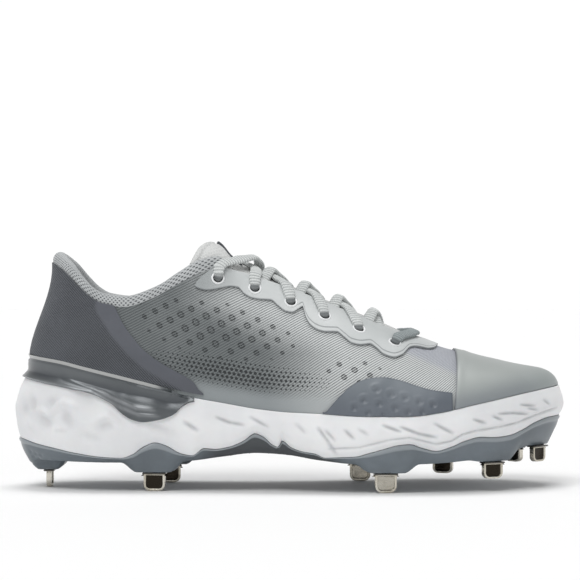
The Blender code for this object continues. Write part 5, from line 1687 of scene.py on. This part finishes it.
def tree_of(piece):
    mesh = piece.data
    return BVHTree.FromPolygons([v.co[:] for v in mesh.vertices], [p.vertices[:] for p in mesh.polygons])


def rest(trees, x, y, low=0.0):
    heights = [low]
    for tree in trees:
        hit = tree.ray_cast(Vector((x, y, 0.2)), Vector((0, 0, -1)))[0]
        if hit:
            heights.append(hit.z)
    return max(heights)


def taut(profile):
    hull = []
    for point in profile:
        while len(hull) > 1:
            (x0, z0), (x1, z1) = hull[-2], hull[-1]
            if (z1 - z0) * (point[0] - x0) > (point[1] - z0) * (x1 - x0):
                break
            hull.pop()
        hull.append(point)
    return hull


def threaded(path, wide, seat, axis):
    """Turns the start of a lace's path down into its eyelet."""
    away = np.linalg.norm(path - seat, axis=-1)
    first = int(np.argmax(away > 0.0062))
    goal = path[first]
    lead = (goal - seat) / np.linalg.norm(goal - seat)
    a, b, c = seat - axis * 0.0022, seat + axis * 0.0028, goal - lead * 0.0028 + axis * 0.0008
    t = np.linspace(0, 1, 31)[:-1, None]
    turn = a * (1 - t) ** 3 + b * 3 * t * (1 - t) ** 2 + c * 3 * t**2 * (1 - t) + goal * t**3
    tail = seat - axis * np.linspace(0.0048, 0.0026, 5)[:, None]
    wide = np.concatenate([np.repeat(wide[first : first + 1], 35, 0), wide[first:]])
    return np.concatenate([tail, turn, path[first:]]), wide


def lace_strand(name, start, end, over_trees, soft_trees, look, node, seats, lift=0.0, bow=0.0):
    """A lace pulled tight over the tongue, from an eyelet or from under one edge to the other side."""
    start, end = np.array(start), np.array(end)
    run = end - start
    run[2] = 0
    span = np.linalg.norm(run)
    run /= span
    across = np.array([-run[1], run[0], 0.0])
    if across[0] < 0:
        across = -across
    places = np.linspace(0, 1, 61)
    line = start + (end - start) * places[:, None]
    line[:, 0] += bow * np.sin(np.pi * places)
    widths = np.array((-0.8, -0.4, 0.0, 0.4, 0.8))
    profile, tilts = [], []
    for t, here in zip(places, line):
        open_side = (t > 0.55 and seats[1] is None) or (t < 0.45 and seats[0] is None)
        trees = soft_trees if open_side else over_trees
        bed = np.array([rest(trees, *(here[:2] + across[:2] * LACE_WIDTH / 2 * w)) for w in widths])
        slope = np.clip((bed[-1] - bed[0]) / 1.6, -0.35 * LACE_WIDTH, 0.35 * LACE_WIDTH)
        tilts.append(slope)
        profile.append((t, (bed - slope * widths).max()))
    tilts = np.convolve(np.pad(tilts, 6, mode="edge"), np.ones(13) / 13, mode="valid")
    hull = taut(profile)
    t = np.linspace(0, 1, 170)
    height = np.interp(t, [p[0] for p in hull], [p[1] for p in hull])
    for _ in range(20):
        height[1:-1] = 0.25 * height[:-2] + 0.5 * height[1:-1] + 0.25 * height[2:]
    path = np.stack([np.interp(t, places, line[:, k]) for k in range(3)], -1)
    path[:, 2] = height + LACE_THICKNESS / 2 + 0.0002 + lift * np.sin(np.pi * t) ** 0.8
    wide = across * (LACE_WIDTH / 2) + np.array([0, 0, 1.0]) * np.interp(t, places, tilts)[:, None]
    for turn, seat in enumerate(seats):
        if turn:
            path, wide = path[::-1], wide[::-1]
        if seat is None:
            away = travelled(path, 0)
            path[:, 2] -= 0.003 * np.clip(1 - away / 0.011, 0, 1) ** 1.3
        else:
            path, wide = threaded(path, wide, np.asarray(seat[0]), np.asarray(seat[1]))
        if turn:
            path, wide = path[::-1], wide[::-1]
    near = np.full(len(path), 1.0)
    for seat in seats:
        if seat is not None:
            near = np.minimum(near, np.linalg.norm(path - np.asarray(seat[0]), axis=-1))
    drawn_in = np.clip(1 - near / 0.006, 0, 1)
    along = travelled(path, 0)
    rib = 0.00013 * np.sin(2 * np.pi * along / LACE_RIB)
    width = LACE_WIDTH * (1 - 0.28 * drawn_in) / 2 + rib
    thick = LACE_THICKNESS * (1 + 0.3 * drawn_in) / 2 + rib
    tangent = np.gradient(path, axis=0)
    tangent /= np.linalg.norm(tangent, axis=-1, keepdims=True)
    side = wide - (wide * tangent).sum(-1, keepdims=True) * tangent
    side /= np.linalg.norm(side, axis=-1, keepdims=True)
    face = np.cross(tangent, side)
    angles = np.linspace(0, 2 * np.pi, 21)
    c, s = np.cos(angles), np.sin(angles)
    ring_x = np.sign(c) * np.abs(c) ** 0.8
    ring_z = np.sign(s) * np.abs(s) ** 0.85
    grid = (path[:, None, :] + side[:, None, :] * (ring_x[None, :] * width[:, None])[..., None]
            + face[:, None, :] * (ring_z[None, :] * thick[:, None])[..., None])
    u = np.repeat(along[:, None], 21, 1)
    v = np.repeat((np.linspace(0, 2, 21) * LACE_WIDTH)[None, :], len(path), 0)
    # The inside mark: painted shade on the lace close to an eyelet's seat.
    inside = np.repeat(np.clip((0.0031 - near) / 0.0014, 0, 1)[:, None], 21, 1)
    piece = grid_piece(name, grid, np.stack([u, v], -1), {"inside": inside})
    merged(piece, 1e-6)
    capped(piece, 40)
    smooth(piece, 60)
    return worn(piece, look, "cord", node)


def laces(shell, stay, tongue_piece):
    """Five crossings and the straight bar in front; the first crossing is tied over the others."""
    look = lace_look("Lace", (208, 211, 210), (160, 164, 164))
    over = [tree_of(shell), tree_of(stay), tree_of(tongue_piece)]
    soft = over[2:]
    seats = {side: [eyelet_seat(side, row) for row in EYELETS] for side in (-1, 1)}
    ends = (seats[-1][5], seats[1][5])
    lace_strand("lace_bar_woven", ends[0][0], ends[1][0], over, soft,
                lace_look("Lace_shaded", (148, 156, 157), (112, 119, 121)), "lace_bar", ends, bow=0.012)
    for index in range(5):
        node = f"lace_crossing_{index + 1}"
        made = []
        for side, label in ((-1, "under"), (1, "over")):
            low, high = seats[side][index + 1], seats[-side][index]
            start, end = low[0], high[0]
            if index > 0:
                end = start + (end - start) * 0.80
            if index == 4:
                start = start + (high[0] - start) * 0.30
            ends = (None if index == 4 else low, high if index == 0 else None)
            lift, bow = {"under": (0.0, 0.008), "over": (0.0024, 0.010)}[label] if index == 0 else (0.0, 0.0)
            made.append(lace_strand(f"{node}_{label}", start, end, over + [tree_of(p) for p in made],
                                    soft + [tree_of(p) for p in made], look, node, ends, lift, bow))


# Stage


def stage():
    """A white floor under a bright horizon, with soft light from the front left and from above."""
    bpy.ops.object.select_all(action="DESELECT")
    bpy.ops.mesh.primitive_plane_add(size=14, location=(0, 3.5, -0.0002))
    floor = bpy.context.object
    floor.name = "floor"
    f = Look("Floor", Roughness=0.9)
    f.done(f.mix(f.noise(0.6, 2.0), (0.93, 0.93, 0.93), (0.96, 0.96, 0.96)))
    floor.data.materials.append(f.material)
    bpy.context.scene.view_settings.view_transform = "Standard"
    world = bpy.data.worlds.new("Studio")
    bpy.context.scene.world = world
    world.use_nodes = True
    nodes, links = world.node_tree.nodes, world.node_tree.links
    height = nodes.new("ShaderNodeSeparateXYZ")
    links.new(nodes.new("ShaderNodeTexCoord").outputs["Generated"], height.inputs[0])
    glow = nodes.new("ShaderNodeMapRange")
    glow.interpolation_type = "SMOOTHSTEP"
    for name, value in (("From Min", 0.12), ("From Max", 0.6), ("To Min", 1.02), ("To Max", 0.32)):
        glow.inputs[name].default_value = value
    links.new(height.outputs["Z"], glow.inputs["Value"])
    links.new(glow.outputs[0], nodes["Background"].inputs["Strength"])
    nodes["Background"].inputs["Color"].default_value = (1, 1, 1, 1)
    for name, towards, strength, spread in (
        ("key", (-0.35, -0.75, 1.15), 1.3, 32),
        ("top", (0.05, 0.12, 1.0), 1.05, 28),
    ):
        lamp = bpy.data.lights.new(name, "SUN")
        lamp.energy = strength
        lamp.angle = math.radians(spread)
        light = bpy.data.objects.new(name, lamp)
        bpy.context.scene.collection.objects.link(light)
        light.rotation_mode = "QUATERNION"
        light.rotation_quaternion = Vector(towards).to_track_quat("Z", "Y")


def camera():
    lens = bpy.data.cameras.new("camera")
    lens.lens = 130.7
    lens.sensor_width = 36
    lens.clip_start = 0.05
    view = bpy.data.objects.new("camera", lens)
    bpy.context.scene.collection.objects.link(view)
    view.location = (-0.0004, -1.15, 0.107)
    view.rotation_euler = (math.radians(90), 0, 0)
    bpy.context.scene.camera = view


def build():
    stage()
    camera()
    shell = worn(upper_shell(), knit_look(), "knit", "upper")
    heel_counter()
    toe_cap()
    side_overlay("side_film_lateral", -1)
    side_overlay("side_film_medial", 1)
    stay = eyestay()
    eyelets(eyelet_look())
    collar()
    tongue_piece = tongue()
    webbing()
    insole()
    midsole()
    plate()
    heel_clip()
    studs(steel_look())
    laces(shell, stay, tongue_piece)


build()
